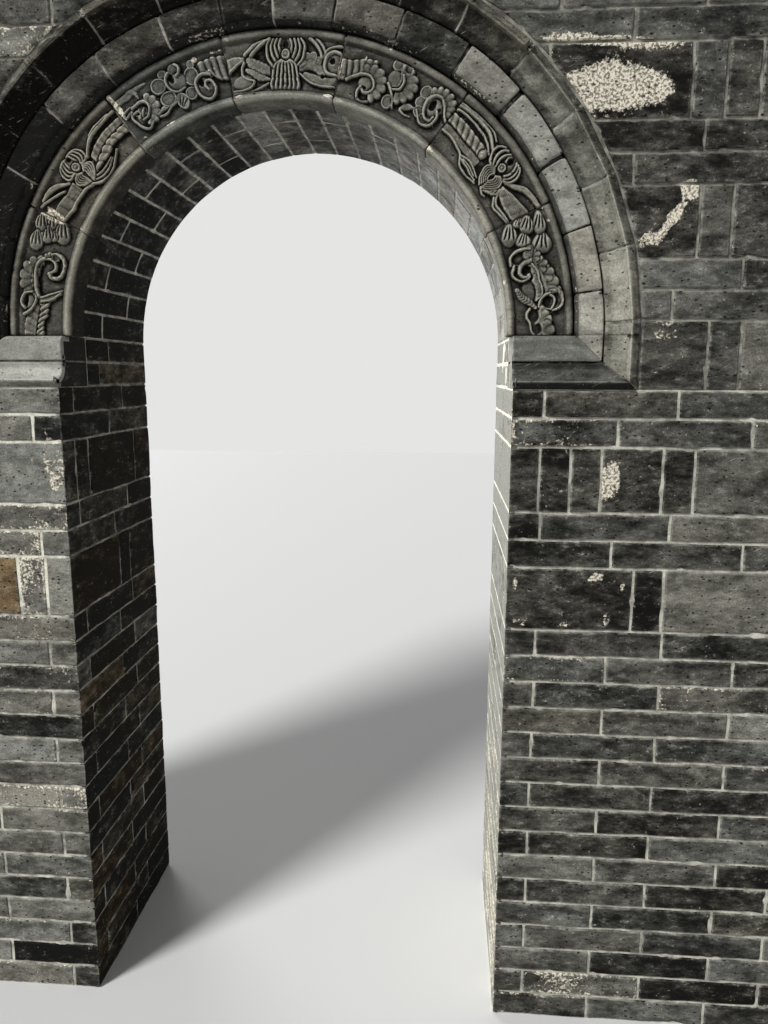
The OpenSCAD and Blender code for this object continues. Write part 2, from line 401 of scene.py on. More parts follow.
def fill_row(start, stop, pattern):
    """Where each brick of a row lies, after the letters of pattern and then whole bricks."""
    way = 1 if stop > start else -1
    here = start
    spans = []
    while (stop - here) * way > .02:
        letter = pattern[min(len(spans), len(pattern) - 1)]
        there = here + way * (BRICK_LENGTHS[letter] + JOINT)
        if (stop - there) * way < .055:
            there = stop + way * JOINT
        spans.append(sorted((here, there - way * JOINT)))
        here = there
    return spans


def turned_ends(number, count):
    """The sides that a brick shares with other faces, in a row that turns a corner at both ends."""
    return "l" * (number == 0) + "r" * (number == count - 1)


class Yard:
    """Random looks of bricks, drawn in order so that each run gives the same wall."""

    def __init__(self, seed, tone=.5, spread=.13, warmth=.04, lime=.1, mixed=.05):
        self.random = np.random.default_rng(seed)
        self.tone, self.spread, self.warmth, self.lime, self.mixed = tone, spread, warmth, lime, mixed
        self.least = 0.0

    def brick(self):
        """Tone, warmth and lime of the next brick."""
        tone = float(min(self.random.normal(self.tone, self.spread), 1.3))
        warmth = float(np.clip(self.random.normal(self.warmth, self.mixed), 0, 1))
        lime = float(self.least + min(self.random.exponential(self.lime), .5))
        return (tone, warmth, lime)


ROWS = course_rows()


# The walls: bricks of both faces, the reveals and the ends
BACK_START = .0034
BACK_STAGGER = .06
REVEAL_TRIM = .0022
WALL_NODES = ("left_pier", "right_pier", "left_upper_wall", "right_upper_wall", "wall_over_arch")
bricks = {node: Heap() for node in WALL_NODES}
beds = {node: Heap() for node in WALL_NODES}
RIGHT_CLOSERS = (1, 3, 5, 7, 9, 11, 13, 15, 18, 21)
IMPOST_ROW = 22
FULL_ROW = 31
FOOT_ROWS = 14
HEAD_ROWS = {22: (.640, "brh"), 23: (.560, "s"), 24: (.700, "s"), 25: (.603, "brb"), 26: (.464, "s"),
             27: (.603, "s"), 28: (.284, "bbrrb"), 29: (.451, "s"), 30: (.3025, "s")}
LEFT_HEAD_SHIFT = .11
LEFT_HEAD_TONE = .82
EDGE_PATTERNS = {("right", 16): "brbrb", ("right", 19): "rrrhrb", ("left", 16): "rrrbrb",
                 ("left", 19): "brbrr"}
SPECIAL = {("left", 16, 2): (.62, .75, .2), ("left", 1, 0): (.05, .05, .02), ("left", 2, 0): (.3, .05, .02),
           ("right", 26, 0): (.30, .05, .1), ("right", 26, 1): (.36, .05, .1),
           ("right", 27, 0): (.28, .1, .1), ("right", 27, 1): (.34, .05, .1),
           ("right", 16, 0): (.34, .1, .08), ("right", 16, 1): (.22, .05, .05),
           ("right", 19, 0): (.30, .1, .05), ("right", 19, 1): (.20, .1, .05),
           ("right", 19, 2): (.36, .1, .05), ("right", 19, 3): (.30, .1, .05),
           ("right", 17, 0): (.26, .05, .15), ("right", 17, 1): (.34, .05, .1),
           ("right", 18, 0): (.22, .05, .1), ("right", 28, 0): (.54, .1, .1)}


# How the bedding mortar lies: its stretches up the front, and on the reveals, left (-1) and right (1)
LEFT_LOW_JOINTS = {"lime": .75, "white": .75, "recess": .0032, "rough": .8}
LEFT_HIGH_JOINTS = {"lime": 1.15, "white": 1.1, "recess": .0026, "rough": .5}
RIGHT_JOINTS = {"lime": .95, "white": .65, "recess": .0042}
FRONT_JOINTS = {-1: ((0, 1.05, LEFT_LOW_JOINTS), (1.04, IMPOST_BOTTOM, LEFT_HIGH_JOINTS)),
                1: ((0, IMPOST_BOTTOM, RIGHT_JOINTS),)}
REVEAL_JOINTS = {-1: {"lime": .66, "white": .4, "recess": .0026, "rough": .2},
                 1: {"lime": 1.6, "white": 1.2, "recess": .0009, "rough": .1}}
HEAD_JOINTS = {"lime": .6, "white": .3}


def node_at(x, z):
    """The wall node that a brick with this middle belongs to."""
    side = "left" if x < 0 else "right"
    if z < SPRING:
        return side + "_pier"
    return side + "_upper_wall" if abs(x) > HEAD_HALF else "wall_over_arch"


def lay_run(place, spans, row, yard, side="", corner=False, far_corner=False, cut=None, step=FINE):
    """Lays one row of bricks over its spans; its first and last brick may turn a corner."""
    bottom, top, _ = row
    near_side, far_side = "rl" if side == "left" else "lr"
    for number, (low, high) in enumerate(spans):
        drawn = yard.brick()
        look = SPECIAL.get((side, ROWS.index(row), number), drawn)
        node = node_at((low + high) / 2, (bottom + top) / 2)
        shared = near_side * (corner and number == 0) + far_side * (far_corner and number == len(spans) - 1)
        lay_brick(bricks[node], place, (low, bottom + JOINT / 2), (high, top - JOINT / 2), look, shared, cut,
                  step)


def front_rows():
    """The carved side: piers up to the imposts, then the wall around and over the rings."""
    cut = outside_arch(OUTER_RING + ARCH_TRIM)
    for sign, side, yard in ((1, "right", Yard(4, tone=.46, spread=.15)),
                             (-1, "left", Yard(9, tone=.60, spread=.22, lime=.3))):
        for index, row in enumerate(ROWS[:FULL_ROW]):
            if index < IMPOST_ROW:
                closer = (index in RIGHT_CLOSERS) == (side == "right")
                pattern = EDGE_PATTERNS[(side, index)] if row[2] == "e" else "cs" if closer else "qs"
                spans = fill_row(sign * OPENING, sign * WALL_END, pattern)
                lay_run(ON_FRONT, spans, row, yard, side, True, True)
                continue
            start, pattern = HEAD_ROWS[index]
            if side == "left":
                yard.tone, yard.lime = LEFT_HEAD_TONE, .1
                start -= LEFT_HEAD_SHIFT
            lay_run(ON_FRONT, fill_row(sign * start, sign * WALL_END, pattern), row, yard, side, False, True,
                    cut)
    yard = Yard(14)
    for index, row in enumerate(ROWS[FULL_ROW:], FULL_ROW):
        pattern = "brrbhb" if row[2] == "e" else "qs" if index % 2 else "hs"
        lay_run(ON_FRONT, fill_row(-WALL_END, WALL_END, pattern), row, yard, "", True, True, cut)


def back_rows():
    """The plain side, with the vault's end showing flush in it."""
    cut = outside_arch(BACK_RING + ARCH_TRIM, 0)
    for sign, side in reversed(SIDES):
        right = side == "right"
        yard = Yard(24 + sign, tone=.45)
        for index, row in enumerate(ROWS[:FULL_ROW]):
            edge_pattern, flat_pattern = ("brhrb", "cs") if index % 2 else ("rrbrb", "qs")
            pattern = edge_pattern if row[2] == "e" else flat_pattern
            if index < IMPOST_ROW:
                spans = fill_row(sign * OPENING, sign * WALL_END, pattern)
                lay_run(ON_BACK, spans, row, yard, "", right, right, step=COARSE)
                continue
            start = BACK_START + BACK_STAGGER * (index % 3)
            if index == IMPOST_ROW:
                low, high = sorted((sign * OPENING, sign * BACK_RING))
                lay_brick(bricks[side + "_pier"], ON_BACK, (low, row[0] + JOINT / 2),
                          (high, SPRING - JOINT / 2), yard.brick(), "l" if right else "r", step=COARSE)
                start = BACK_RING + ARCH_TRIM
            spans = fill_row(sign * start, sign * WALL_END, pattern[::-1])
            lay_run(ON_BACK, spans, row, yard, "", False, right, cut, COARSE)
    yard = Yard(29, tone=.45)
    for index, row in enumerate(ROWS[FULL_ROW:], FULL_ROW):
        pattern = "rbhb" if row[2] == "e" else "qs" if index % 2 else "cs"
        lay_run(ON_BACK, fill_row(-WALL_END, WALL_END, pattern), row, yard, "", True, True, cut, COARSE)


def reveal_rows():
    """The two reveals: dark on the left, partly soot and partly painted shade; pale on the right, partly
    lime and partly painted light, with more lime near the ground.
    """
    # The left yard's low tone paints shade into the left reveal, and the right yard's high tone paints light
    # into the right one
    for sign, side, yard, rough in ((-1, "left", Yard(39, .09, .14, .35, .04, mixed=.30), 1),
                                    (1, "right", Yard(41, 1.1, .14, 0, .04, mixed=.03), .4)):
        heap, place = bricks[side + "_pier"], REVEALS[sign]
        for index, (bottom, top, kind) in enumerate(ROWS[:IMPOST_ROW]):
            closer = (index in RIGHT_CLOSERS) == (side == "right")
            pattern = "mm" if closer else "cs"
            if kind == "e":
                pattern = "brb" if EDGE_PATTERNS[(side, index)][0] == "r" else "rrbrr"
            if side == "right":
                yard.least = .30 + .022 * max(FOOT_ROWS - index, 0)
            spans = fill_row(FRONT, BACK, pattern)
            for number, (low, high) in enumerate(spans):
                lay_brick(heap, place, (low, bottom + REVEAL_TRIM), (high, top - REVEAL_TRIM), yard.brick(),
                          turned_ends(number, len(spans)), rough=rough)
        for bottom, top, pattern in ((IMPOST_BOTTOM, IMPOST_JOINT, "rs"), (IMPOST_JOINT, IMPOST_TOP, "hs")):
            for low, high in fill_row(FRONT + MOULD_BACK + JOINT, BACK, pattern):
                lay_brick(heap, place, (low, bottom + JOINT / 2), (high, top - JOINT / 2), yard.brick(),
                          "r" * (high > BACK - .001))


def end_rows():
    """The two flat ends of the wall."""
    for sign, side in SIDES:
        yard = Yard(50 + sign, tone=.45)
        for index, (bottom, top, kind) in enumerate(ROWS):
            edge_pattern, flat_pattern = ("brb", "mm") if index % 2 else ("rrbrr", "cs")
            spans = fill_row(FRONT, BACK, edge_pattern if kind == "e" else flat_pattern)
            node = node_at(sign * WALL_END, (bottom + top) / 2)
            for number, (low, high) in enumerate(spans):
                lay_brick(bricks[node], WALL_ENDS[sign], (low, bottom + JOINT / 2), (high, top - JOINT / 2),
                          yard.brick(), turned_ends(number, len(spans)), step=COARSE)


def mortar_faces():
    """Bedding mortar just behind the brick faces on every side."""
    face = (FRONT + MORTAR_INSET, BACK - MORTAR_INSET)
    for sign, side in SIDES:
        low, high = sorted((sign * (OPENING + MORTAR_INSET), sign * (WALL_END - MORTAR_INSET)))
        pier, reveal = beds[side + "_pier"], REVEALS[sign]
        for bottom, top, joints in FRONT_JOINTS[sign]:
            lay_mortar(pier, ON_FRONT, (low, bottom), (high, top), **joints)
        lay_mortar(pier, ON_BACK, (low, 0), (high, SPRING), step=.04)
        joints = REVEAL_JOINTS[sign]
        lay_mortar(pier, reveal, (face[0], 0), (face[1], IMPOST_BOTTOM), **joints)
        lay_mortar(pier, reveal, (FRONT + MOULD_BACK, IMPOST_BOTTOM), (face[1], SPRING), **joints)
        behind_impost = {**joints, "recess": .005}
        lay_mortar(pier, reveal, (FRONT + .045, IMPOST_BOTTOM), (FRONT + MOULD_BACK + .01, SPRING),
                   **behind_impost)
        lay_mortar(pier, WALL_ENDS[sign], (face[0], 0), (face[1], SPRING), step=.04)
        low, high = sorted((sign * (OUTER_RING - ARCH_LAP), sign * (WALL_END - MORTAR_INSET)))
        lay_mortar(pier, ON_FRONT, (low, IMPOST_BOTTOM), (high, SPRING), **HEAD_JOINTS)
        low, high = sorted((sign * HEAD_HALF, sign * (WALL_END - MORTAR_INSET)))
        upper = beds[side + "_upper_wall"]
        lay_mortar(upper, ON_FRONT, (low, SPRING), (high, WALL_TOP), **HEAD_JOINTS)
        lay_mortar(upper, ON_BACK, (low, SPRING), (high, WALL_TOP), step=.04)
        lay_mortar(upper, WALL_ENDS[sign], (face[0], SPRING), (face[1], WALL_TOP), step=.04)
    over = (beds["wall_over_arch"], (-HEAD_HALF, SPRING), (HEAD_HALF, WALL_TOP))
    lay_mortar(over[0], ON_FRONT, *over[1:], cut=outside_arch(OUTER_RING - ARCH_LAP), **HEAD_JOINTS)
    lay_mortar(over[0], ON_BACK, *over[1:], cut=outside_arch(BACK_RING - ARCH_LAP, 0))


# The vault behind the carved band: painted shade and light on its bricks, from dark at the left springing to
# pale at the right one
VAULT_PAINTED_LIGHT = (.05, .15, .42, 1.0)
VAULT_ROWS = 26
VAULT_ENDS = 28


def vault(yard):
    """Underside bricks in running bond, and the mortar between them."""
    heap, bed = Heap(), Heap()
    front_edge = FRONT + BLOCK_BACK
    length = math.pi * OPENING
    under = around(OPENING)
    for number in range(VAULT_ROWS):
        low, high = number * length / VAULT_ROWS, (number + 1) * length / VAULT_ROWS
        # Painted shade and light: darker at the left springing, paler towards the right
        shade = np.interp(number, [0, VAULT_ROWS * .3, VAULT_ROWS * .5, VAULT_ROWS], VAULT_PAINTED_LIGHT)
        for start, stop in fill_row(front_edge, BACK, "s" if number % 2 else "hs"):
            tone, warmth, lime = yard.brick()
            lay_brick(heap, under, (low + JOINT / 3, start + JOINT / 3), (high - JOINT / 3, stop),
                      (max(tone, -.1) + shade, warmth, lime), "t" * (stop > BACK - .001), arris=.003,
                      rough=.6)
    lay_mortar(bed, under, (0, front_edge - .03), (length, BACK - .003), recess=.0014, lime=.75, white=.6,
               rough=.3)
    return heap, bed


def vault_end(heap, bed, yard):
    """The ring of brick ends on the back face."""
    middle = (OPENING + BACK_RING) / 2
    ring_end = ring_ends(middle)
    span = math.pi * middle
    for number in range(VAULT_ENDS):
        low, high = number * span / VAULT_ENDS, (number + 1) * span / VAULT_ENDS
        tone, warmth, lime = yard.brick()
        lay_brick(heap, ring_end, (low + JOINT / 2, OPENING), (high - JOINT / 2, BACK_RING - .003),
                  (tone + .5, warmth, lime), "b", step=COARSE)
    lay_mortar(bed, ring_end, (0, OPENING + MORTAR_INSET), (span, BACK_RING + .01), step=.03)


# Moulded rings and imposts: one section swept round, down and level
INNER_ROUND = .017
RING_FACE = .025
HOLLOW_AT = .725
HOLLOW = .035
IMPOST_STEPS = (0, .006, .014, .03, .1, .2, .3, .4, .5, .6, .7, .8, .9, .96, .98, .993, 1)
LEG_STEPS = (0, .1, .4, .7, .9, .96, 1)
FOOT_GAP = .12
JOINT_REACH = .55
SEAM_DEPTH = .0285
# Impost tones are painted light: paler on the left and darker on the right, following the light from the
# left; the left end on the reveal is painted shade
IMPOST_LOOKS = {-1: (.74, .94, (.02, .1, .05)), 1: (.58, .32, (.74, .05, .35))}


def mitre_drop(radius):
    """How far below the springing the mitre lies at this radius."""
    return np.interp(radius, [SURROUND, INNER_RING, OUTER_RING],
                     [0, SPRING - IMPOST_JOINT, SPRING - IMPOST_BOTTOM])


def inner_section():
    """Inner ring, from the groove out: quarter round, then flat. Each point has a radius and a depth."""
    turn = np.linspace(0, math.pi / 2, 8)
    rounds = np.stack([SURROUND + INNER_ROUND * (1 - np.cos(turn)), .042 - INNER_ROUND * np.sin(turn)],
                      axis=1)
    flat = np.stack([np.linspace(.672, INNER_RING - .0045, 7), np.full(7, RING_FACE)], axis=1)
    edge = [[INNER_RING - .0025, .0265], [INNER_RING - .0018, .04]]
    return np.concatenate([[[SURROUND, .066], [SURROUND, .05]], rounds, flat, edge])


def outer_section():
    """Outer ring: a flat, a hollow that rises to the arris, then a slope back to the wall face."""
    turn = np.linspace(0, math.pi / 2, 12)
    hollow = np.stack([HOLLOW_AT + HOLLOW * np.sin(turn), -.010 + HOLLOW * np.cos(turn)], axis=1)[:-1]
    start = [[INNER_RING + .0018, .04], [INNER_RING + .0022, .0268], [INNER_RING + .004, RING_FACE],
             [.7185, RING_FACE]]
    stop = [[.7588, -.0085], [.7605, -.0098], [.7625, -.0090], [.768, -.0062], [.774, -.0030],
            [OUTER_RING, 0], [OUTER_RING + .001, .012]]
    return np.concatenate([start, hollow, stop])


def round_arch(sag=0.0):
    """Carries a section round the arch; sag straightens the outer edge of each block."""
    def place(angle, section, bow):
        radius = section[..., 0] - sag * bow * np.clip((section[..., 0] - HOLLOW_AT) / .055, 0, 1)
        radius = radius + settled(angle, radius)
        return np.stack([-radius * np.cos(angle), FRONT + section[..., 1], SPRING + radius * np.sin(angle)],
                        axis=-1)
    return place


def down_leg(sign):
    """Carries a section straight down from the springing to the mitre."""
    def place(part, section, _):
        radius = section[..., 0]
        return np.stack([sign * radius, FRONT + section[..., 1], SPRING - part * mitre_drop(radius)],
                        axis=-1)
    return place


def level_run(sign):
    """Carries a section level from the opening's corner to the mitre."""
    def place(part, section, _):
        radius = section[..., 0]
        across = OPENING + part * (np.minimum(radius, OUTER_RING) - OPENING)
        return np.stack([sign * across, FRONT + section[..., 1], SPRING - mitre_drop(radius)], axis=-1)
    return place


def section_normals(section):
    """Directions out of a section's surface."""
    slope = np.gradient(section, axis=0)
    slope /= np.linalg.norm(slope, axis=1, keepdims=True)
    return np.stack([slope[:, 1], -slope[:, 0]], axis=1)


def sweep(heap, place, section, stations, look, ends=(True, True), arris=ARRIS, flip=False, length=None,
          rough=1.0, shade=(0, 0)):
    """One moulded block: a section carried along stations, worn and rounded at its ends.

    shade holds the painted light and shade added to the tone, and the grime with painted shade, at each
    point of the section."""
    stations = np.asarray(stations, dtype=float)
    length = length or abs(stations[-1] - stations[0]) * section[:, 0].mean()
    share = (stations - stations[0]) / (stations[-1] - stations[0])
    from_start = share if ends[0] else np.ones_like(share)
    from_end = 1 - share if ends[1] else np.ones_like(share)
    gaps = (np.minimum(from_start, from_end) * length)[:, None]
    normals = section_normals(section)
    s, k = np.meshgrid(stations, np.arange(len(section)), indexing="ij")
    base = section[k]
    bow = np.broadcast_to((4 * share * (1 - share))[:, None], s.shape)
    flat = place(s, base, bow)
    chip = smooth(noise(flat, .022, 31), .3, .95) * rough
    drop = rounding(gaps, arris * (.8 + 1.8 * chip))
    lift = rough * (.0009 * noise(flat, .07, 32) + .0004 * noise(flat, .016, 33)) - drop
    points = place(s, base + normals[k] * lift[..., None], bow)
    colour = plain_look(s.size, look)
    colour[:, 0] += np.broadcast_to(shade[0], s.shape).ravel()
    colour[:, 3] = np.maximum(1 - np.clip(gaps / .008, 0, 1), np.broadcast_to(shade[1], s.shape)).ravel()
    behind = place(s, base - normals[k] * SKIRT, bow)
    heap.add_sheet(points, grid_quads(*s.shape, flip), colour, behind, long_sides_free(s.shape))


def stations_between(low, high, step, gaps):
    """Stations from low to high, inset by half a joint and close together at the ends."""
    low, high = low + gaps[0], high - gaps[1]
    near = np.array([0, .0012, .003, .007]) / .7
    count = max(2, int(round((high - low - 2 * near[-1]) / step)))
    middle = np.linspace(low + near[-1], high - near[-1], count + 1)
    return np.concatenate([low + near[:-1], middle, high - near[-2::-1]])


# Joints of the rings as they lie on the carved side: angle in degrees from the left springing, half width in
# millimetres, and how pale the mortar is. The tones of the blocks between them follow, foot to foot.
INNER_JOINTS = ((7.8, 2, .1), (19.2, 2, .1), (30.9, 1.6, .8), (43.5, 2, .3), (56.0, 1.6, .8), (68.9, 2, .8),
                (80.0, 2, .1), (89.4, 1.6, .8), (100.5, 2, .1), (112.5, 2, .2), (124.7, 3, .05),
                (136.1, 4.5, 0), (148.6, 3.2, 0), (161.0, 1.6, .1), (172.2, 2, .2))
INNER_TONES = (-.05, -.08, -.06, .02, .26, .28, .24, .12, .32, .40, .22, .72, .80, .82, .80, .80)
OUTER_JOINTS = ((2.2, 1.5, .3), (13.4, 1.5, .2), (24.7, 1.5, .2), (36.0, 2, .1), (47.0, 1.5, .3),
                (58.4, 1.5, .9), (69.8, 1.5, .9), (80.1, 1.5, .5), (90.4, 1.5, .5), (100.8, 1.5, .5),
                (111.1, 1.5, .6), (121.4, 1.6, .9), (132.7, 2.4, .4), (144.2, 1.6, .9), (155.1, 1.5, .9),
                (166.1, 1.3, .8), (177.8, 1.6, .9))
OUTER_TONES = (-.08, -.08, -.08, -.06, -.08, -.05, .04, .18, .26, .26, .27, .28, .33, .56, .60, .76, .80,
               .74)


def inner_shade(section):
    """The inner ring is darker along the groove and along the outer ring: painted shade, partly grime."""
    radius = section[:, 0]
    tone = np.interp(radius, [.654, .660, .712, .7165], [-.30, 0, 0, -.25])
    return tone, 1.6 * (1 - smooth(radius, .653, .660)), 0 * tone


def outer_shade(section, slope):
    """Painted shade at the inner edge, a paler arris, and slope behind it: painted light on rings, shade on
    imposts.
    """
    radius = section[:, 0]
    tone = np.interp(radius, [.7235, .728, .757, .7590, .7610, .7640], [-.2, 0, 0, .22, .22, slope])
    return tone, 0 * tone, smooth(radius, .7605, .7640)


def own_shade(shade, pale):
    """The painted shade of one block: where the section has a painted tone of its own, the block's paleness
    is taken off.
    """
    return shade[0] - shade[2] * pale, shade[1]


def ring_blocks(section, joints, tones, yard, shade, sag=0.0):
    """The left run, the two bricks at the crown and the right run of one ring, block by block."""
    heaps = {part: Heap() for part in ("left", "key", "right")}
    reach = section[:, 0].mean() * 1000
    for (low, low_half, _), (high, high_half, _), pale in zip(joints[:-1], joints[1:], tones[1:-1]):
        middle = (low + high) / 2
        part = "key" if abs(middle - 90) < 7 else "left" if middle < 90 else "right"
        stations = stations_between(math.radians(low), math.radians(high), .016,
                                    (low_half / reach, high_half / reach))
        tone, warmth, lime = yard.brick()
        sweep(heaps[part], round_arch(sag), section, stations, (tone + pale, warmth, lime), flip=True,
              shade=own_shade(shade, pale), arris=.003 + .0006 * (low_half + high_half - 3))
    return heaps


def ring_feet(heaps, section, yard, reach, joints, tones, shade):
    """The short mitred pieces that bring a ring down to its impost."""
    for sign, part, joint, pale in ((-1, "left", joints[0][0], tones[0]),
                                    (1, "right", 180 - joints[-1][0], tones[-1])):
        tone, warmth, lime = yard.brick()
        how = {"look": (tone + pale, warmth, lime), "shade": own_shade(shade, pale)}
        low, high = (0, joint - FOOT_GAP) if sign < 0 else (180 - joint + FOOT_GAP, 180)
        stations = np.linspace(math.radians(low), math.radians(high), 7)
        sweep(heaps[part], round_arch(), section, stations, ends=(sign > 0, sign < 0), flip=True, **how)
        sweep(heaps[part], down_leg(sign), section, LEG_STEPS, ends=(False, True), length=reach,
              flip=sign > 0, **how)


def impost(sign, section, look, end_look, shade=(0, 0)):
    """A level moulding from the opening's corner to its mitre, with its end on the reveal."""
    heap = Heap()
    sweep(heap, level_run(sign), section, IMPOST_STEPS, look, length=.2, flip=sign < 0, shade=shade)
    inner = section[1:-1]
    d, k = np.meshgrid(np.linspace(0, 1, 9), np.arange(len(inner)), indexing="ij")
    start = inner[k][..., 1] + .002
    y = FRONT + start + d * (MOULD_BACK - start)
    z = SPRING - mitre_drop(inner[k][..., 0])
    points = np.stack([np.full(y.shape, sign * OPENING), y, z], axis=-1)
    points[..., 0] += sign * (.0012 + .001 * noise(points, .05, 41))
    heap.add(points.reshape(-1, 3), grid_quads(*y.shape, sign > 0), plain_look(y.size, end_look))
    return heap


# The carved band: each block is one relief, worked out in millimetres along and across the band
BAND_INNER, BAND_OUTER = .520, .628
BEAD_EDGE = .501
GROUND = .053
BLOCK_JOINTS = (0, 26.6, 52.7, 78.6, 103.2, 128.9, 154.3, 180)
BAND_MIDDLE = (BAND_INNER + BAND_OUTER) / 2
BLOCK_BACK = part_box("carved_block_4")[1][1] - FRONT
RELIEF_STEP = .00125
# Crests paler, partly from wear and partly as painted highlight
CREST_WEAR_AND_HIGHLIGHT = .6
# Painted shade on the soffit of the left blocks and painted light on the right ones
SOFFIT_PAINTED_SHADING = (-.42, -.24, .04, .32)
BLOCK_TONES = (0, -.01, .01, .04, .10, -.05, -.02)
BEAD = .0095
# Painted shade, partly soot, at the feet of the beads, by radius
BEAD_FOOT_SHADE = ([.517, .519, .522, .526, .623, .627, .630, .632], [0, .6, .5, 0, 0, .45, .6, 0])
# Painted highlight along the beads' crests and painted shade at their sides, by radius
INNER_BEAD_PAINTED_LIGHT = ([.501, .503, .509, .513, .519], [.1, .42, .45, .1, -.1])
OUTER_BEAD_PAINTED_LIGHT = ([.628, .632, .639, .643, .647], [0, .14, .14, -.05, -.3])


def block_section():
    """Across a carved block, from the soffit's back to the groove: radius, depth and the relief's share."""
    turn = np.linspace(0, math.pi, 13)
    soffit = np.array([[BEAD_EDGE, depth, 0] for depth in (BLOCK_BACK, .108, .095, .082, .070, .062)])
    inner, outer = (np.stack([middle - BEAD * np.cos(turn), GROUND - BEAD * np.sin(turn), 0 * turn], axis=1)
                    for middle in (.5105, .6375))
    count = int(round((BAND_OUTER - BAND_INNER) / RELIEF_STEP))
    across = np.linspace(BAND_INNER, BAND_OUTER, count + 1)[1:-1]
    ground = np.stack([across, np.full(len(across), GROUND), np.ones(len(across))], axis=1)
    groove = np.array([[OUTER_BEAD, .060, 0], [OUTER_BEAD, .067, 0], [SURROUND - .0003, .067, 0]])
    return np.concatenate([soffit, inner, ground, outer, groove])


def blurred(field, reach):
    """Mean of a field over squares of this half width."""
    padded = np.pad(field, reach + 1, mode="edge").cumsum(0).cumsum(1)
    size = 2 * reach + 1
    total = padded[size:, size:] - padded[:-size, size:] - padded[size:, :-size] + padded[:-size, :-size]
    return total[:field.shape[0], :field.shape[1]] / size ** 2


def block_wear(flat, stations, s):
    """How the block's faces are worn, and rounded at its two joints."""
    wear = .00045 * noise(flat, .011, 51) + .0007 * noise(flat, .05, 52) + .00025 * noise(flat, .0045, 53)
    gaps = np.minimum(s - stations[0], stations[-1] - s) * BAND_MIDDLE
    return wear, rounding(gaps, .0028 * (1 + 1.8 * smooth(noise(flat, .02, 54), .2, .9)))


def painted_shade_and_soot(height, base):
    """Where the carving is darkened: painted shade, with some soot, in the relief's hollows, along the
    beads' feet and in the groove.
    """
    hollow = np.clip((blurred(height, 3) - height) * 620, 0, 1) * .7
    hollow += np.clip((blurred(height, 9) - height) * 380, 0, 1) * .8
    foot = np.interp(base[..., 0], *BEAD_FOOT_SHADE)
    hollow = np.clip(np.maximum(hollow, foot), 0, 1)
    return np.maximum(hollow, np.clip((base[..., 1] - .056) / .006, 0, 1) * (base[..., 0] > .64))


def block_tones(height, base, relief_share, number):
    """What is added to the block's tone: crests paler from wear and painted highlight, painted highlight and
    shade on the beads, a dark ground, and painted shade and light on the soffit.
    """
    radius, depth = base[..., 0], base[..., 1]
    crest = np.clip((height - blurred(height, 4)) * 330, 0, 1)
    bead = np.interp(radius, *INNER_BEAD_PAINTED_LIGHT)
    bead = np.where(radius > .6275, np.interp(radius, *OUTER_BEAD_PAINTED_LIGHT), bead)
    # The first two blocks get a stronger painted highlight on their beads
    bead *= (relief_share < .5) * (depth < .056) * (1.35 if number < 2 else 1)
    ground = .14 * smooth(.0022 - height, 0, .0015) * relief_share
    soffit = np.interp(number, [0, 2, 4, 6], SOFFIT_PAINTED_SHADING) * smooth(depth, .050, .060) * (radius < .502)
    return CREST_WEAR_AND_HIGHLIGHT * crest + bead + soffit - ground


def carved_block(number, yard):
    """One block of the band: its beads, soffit and relief, worn, with rounded joint edges."""
    section = block_section()
    low, high = math.radians(BLOCK_JOINTS[number]), math.radians(BLOCK_JOINTS[number + 1])
    half_joint = .0016 / BAND_MIDDLE
    stations = stations_between(low, high, RELIEF_STEP / BAND_MIDDLE, (half_joint, half_joint))
    s, k = np.meshgrid(stations, np.arange(len(section)), indexing="ij")
    base, relief_share = section[k][..., :2], section[k][..., 2]
    along = (s - (low + high) / 2) * BAND_MIDDLE * 1000
    relief = Relief(along, (base[..., 0] - BAND_INNER) * 1000, SHEETS[number])
    DRAWINGS[number](relief)
    height = relief.finished(RELIEF_STEP * 1000) * relief_share / 1000
    flat = round_arch()(s, base, 0)
    wear, drop = block_wear(flat, stations, s)
    normals = section_normals(section[:, :2])[k]
    lift = height + wear - drop
    points = round_arch()(s, base + normals * lift[..., None], 0)
    colour = plain_look(s.size, yard.brick())
    colour[:, 0] += BLOCK_TONES[number]
    colour[:, 0] += block_tones(height, base, relief_share, number).ravel()
    colour[:, 2] = np.maximum(colour[:, 2], relief.lime.ravel())
    colour[:, 3] = painted_shade_and_soot(height, base).ravel()
    heap = Heap()
    behind = round_arch()(s, base - normals * SKIRT, 0)
    heap.add_sheet(points, grid_quads(*s.shape, True), colour, behind, long_sides_free(s.shape))
    return heap


# Sheets for the drawings: ALONG units along a sheet are a millimetre, and SHEETS gives the places of each
# block's left and right joint and of its outer and inner edge
ALONG = 4.495
DEPTH = .88
BOLDER = 1.22


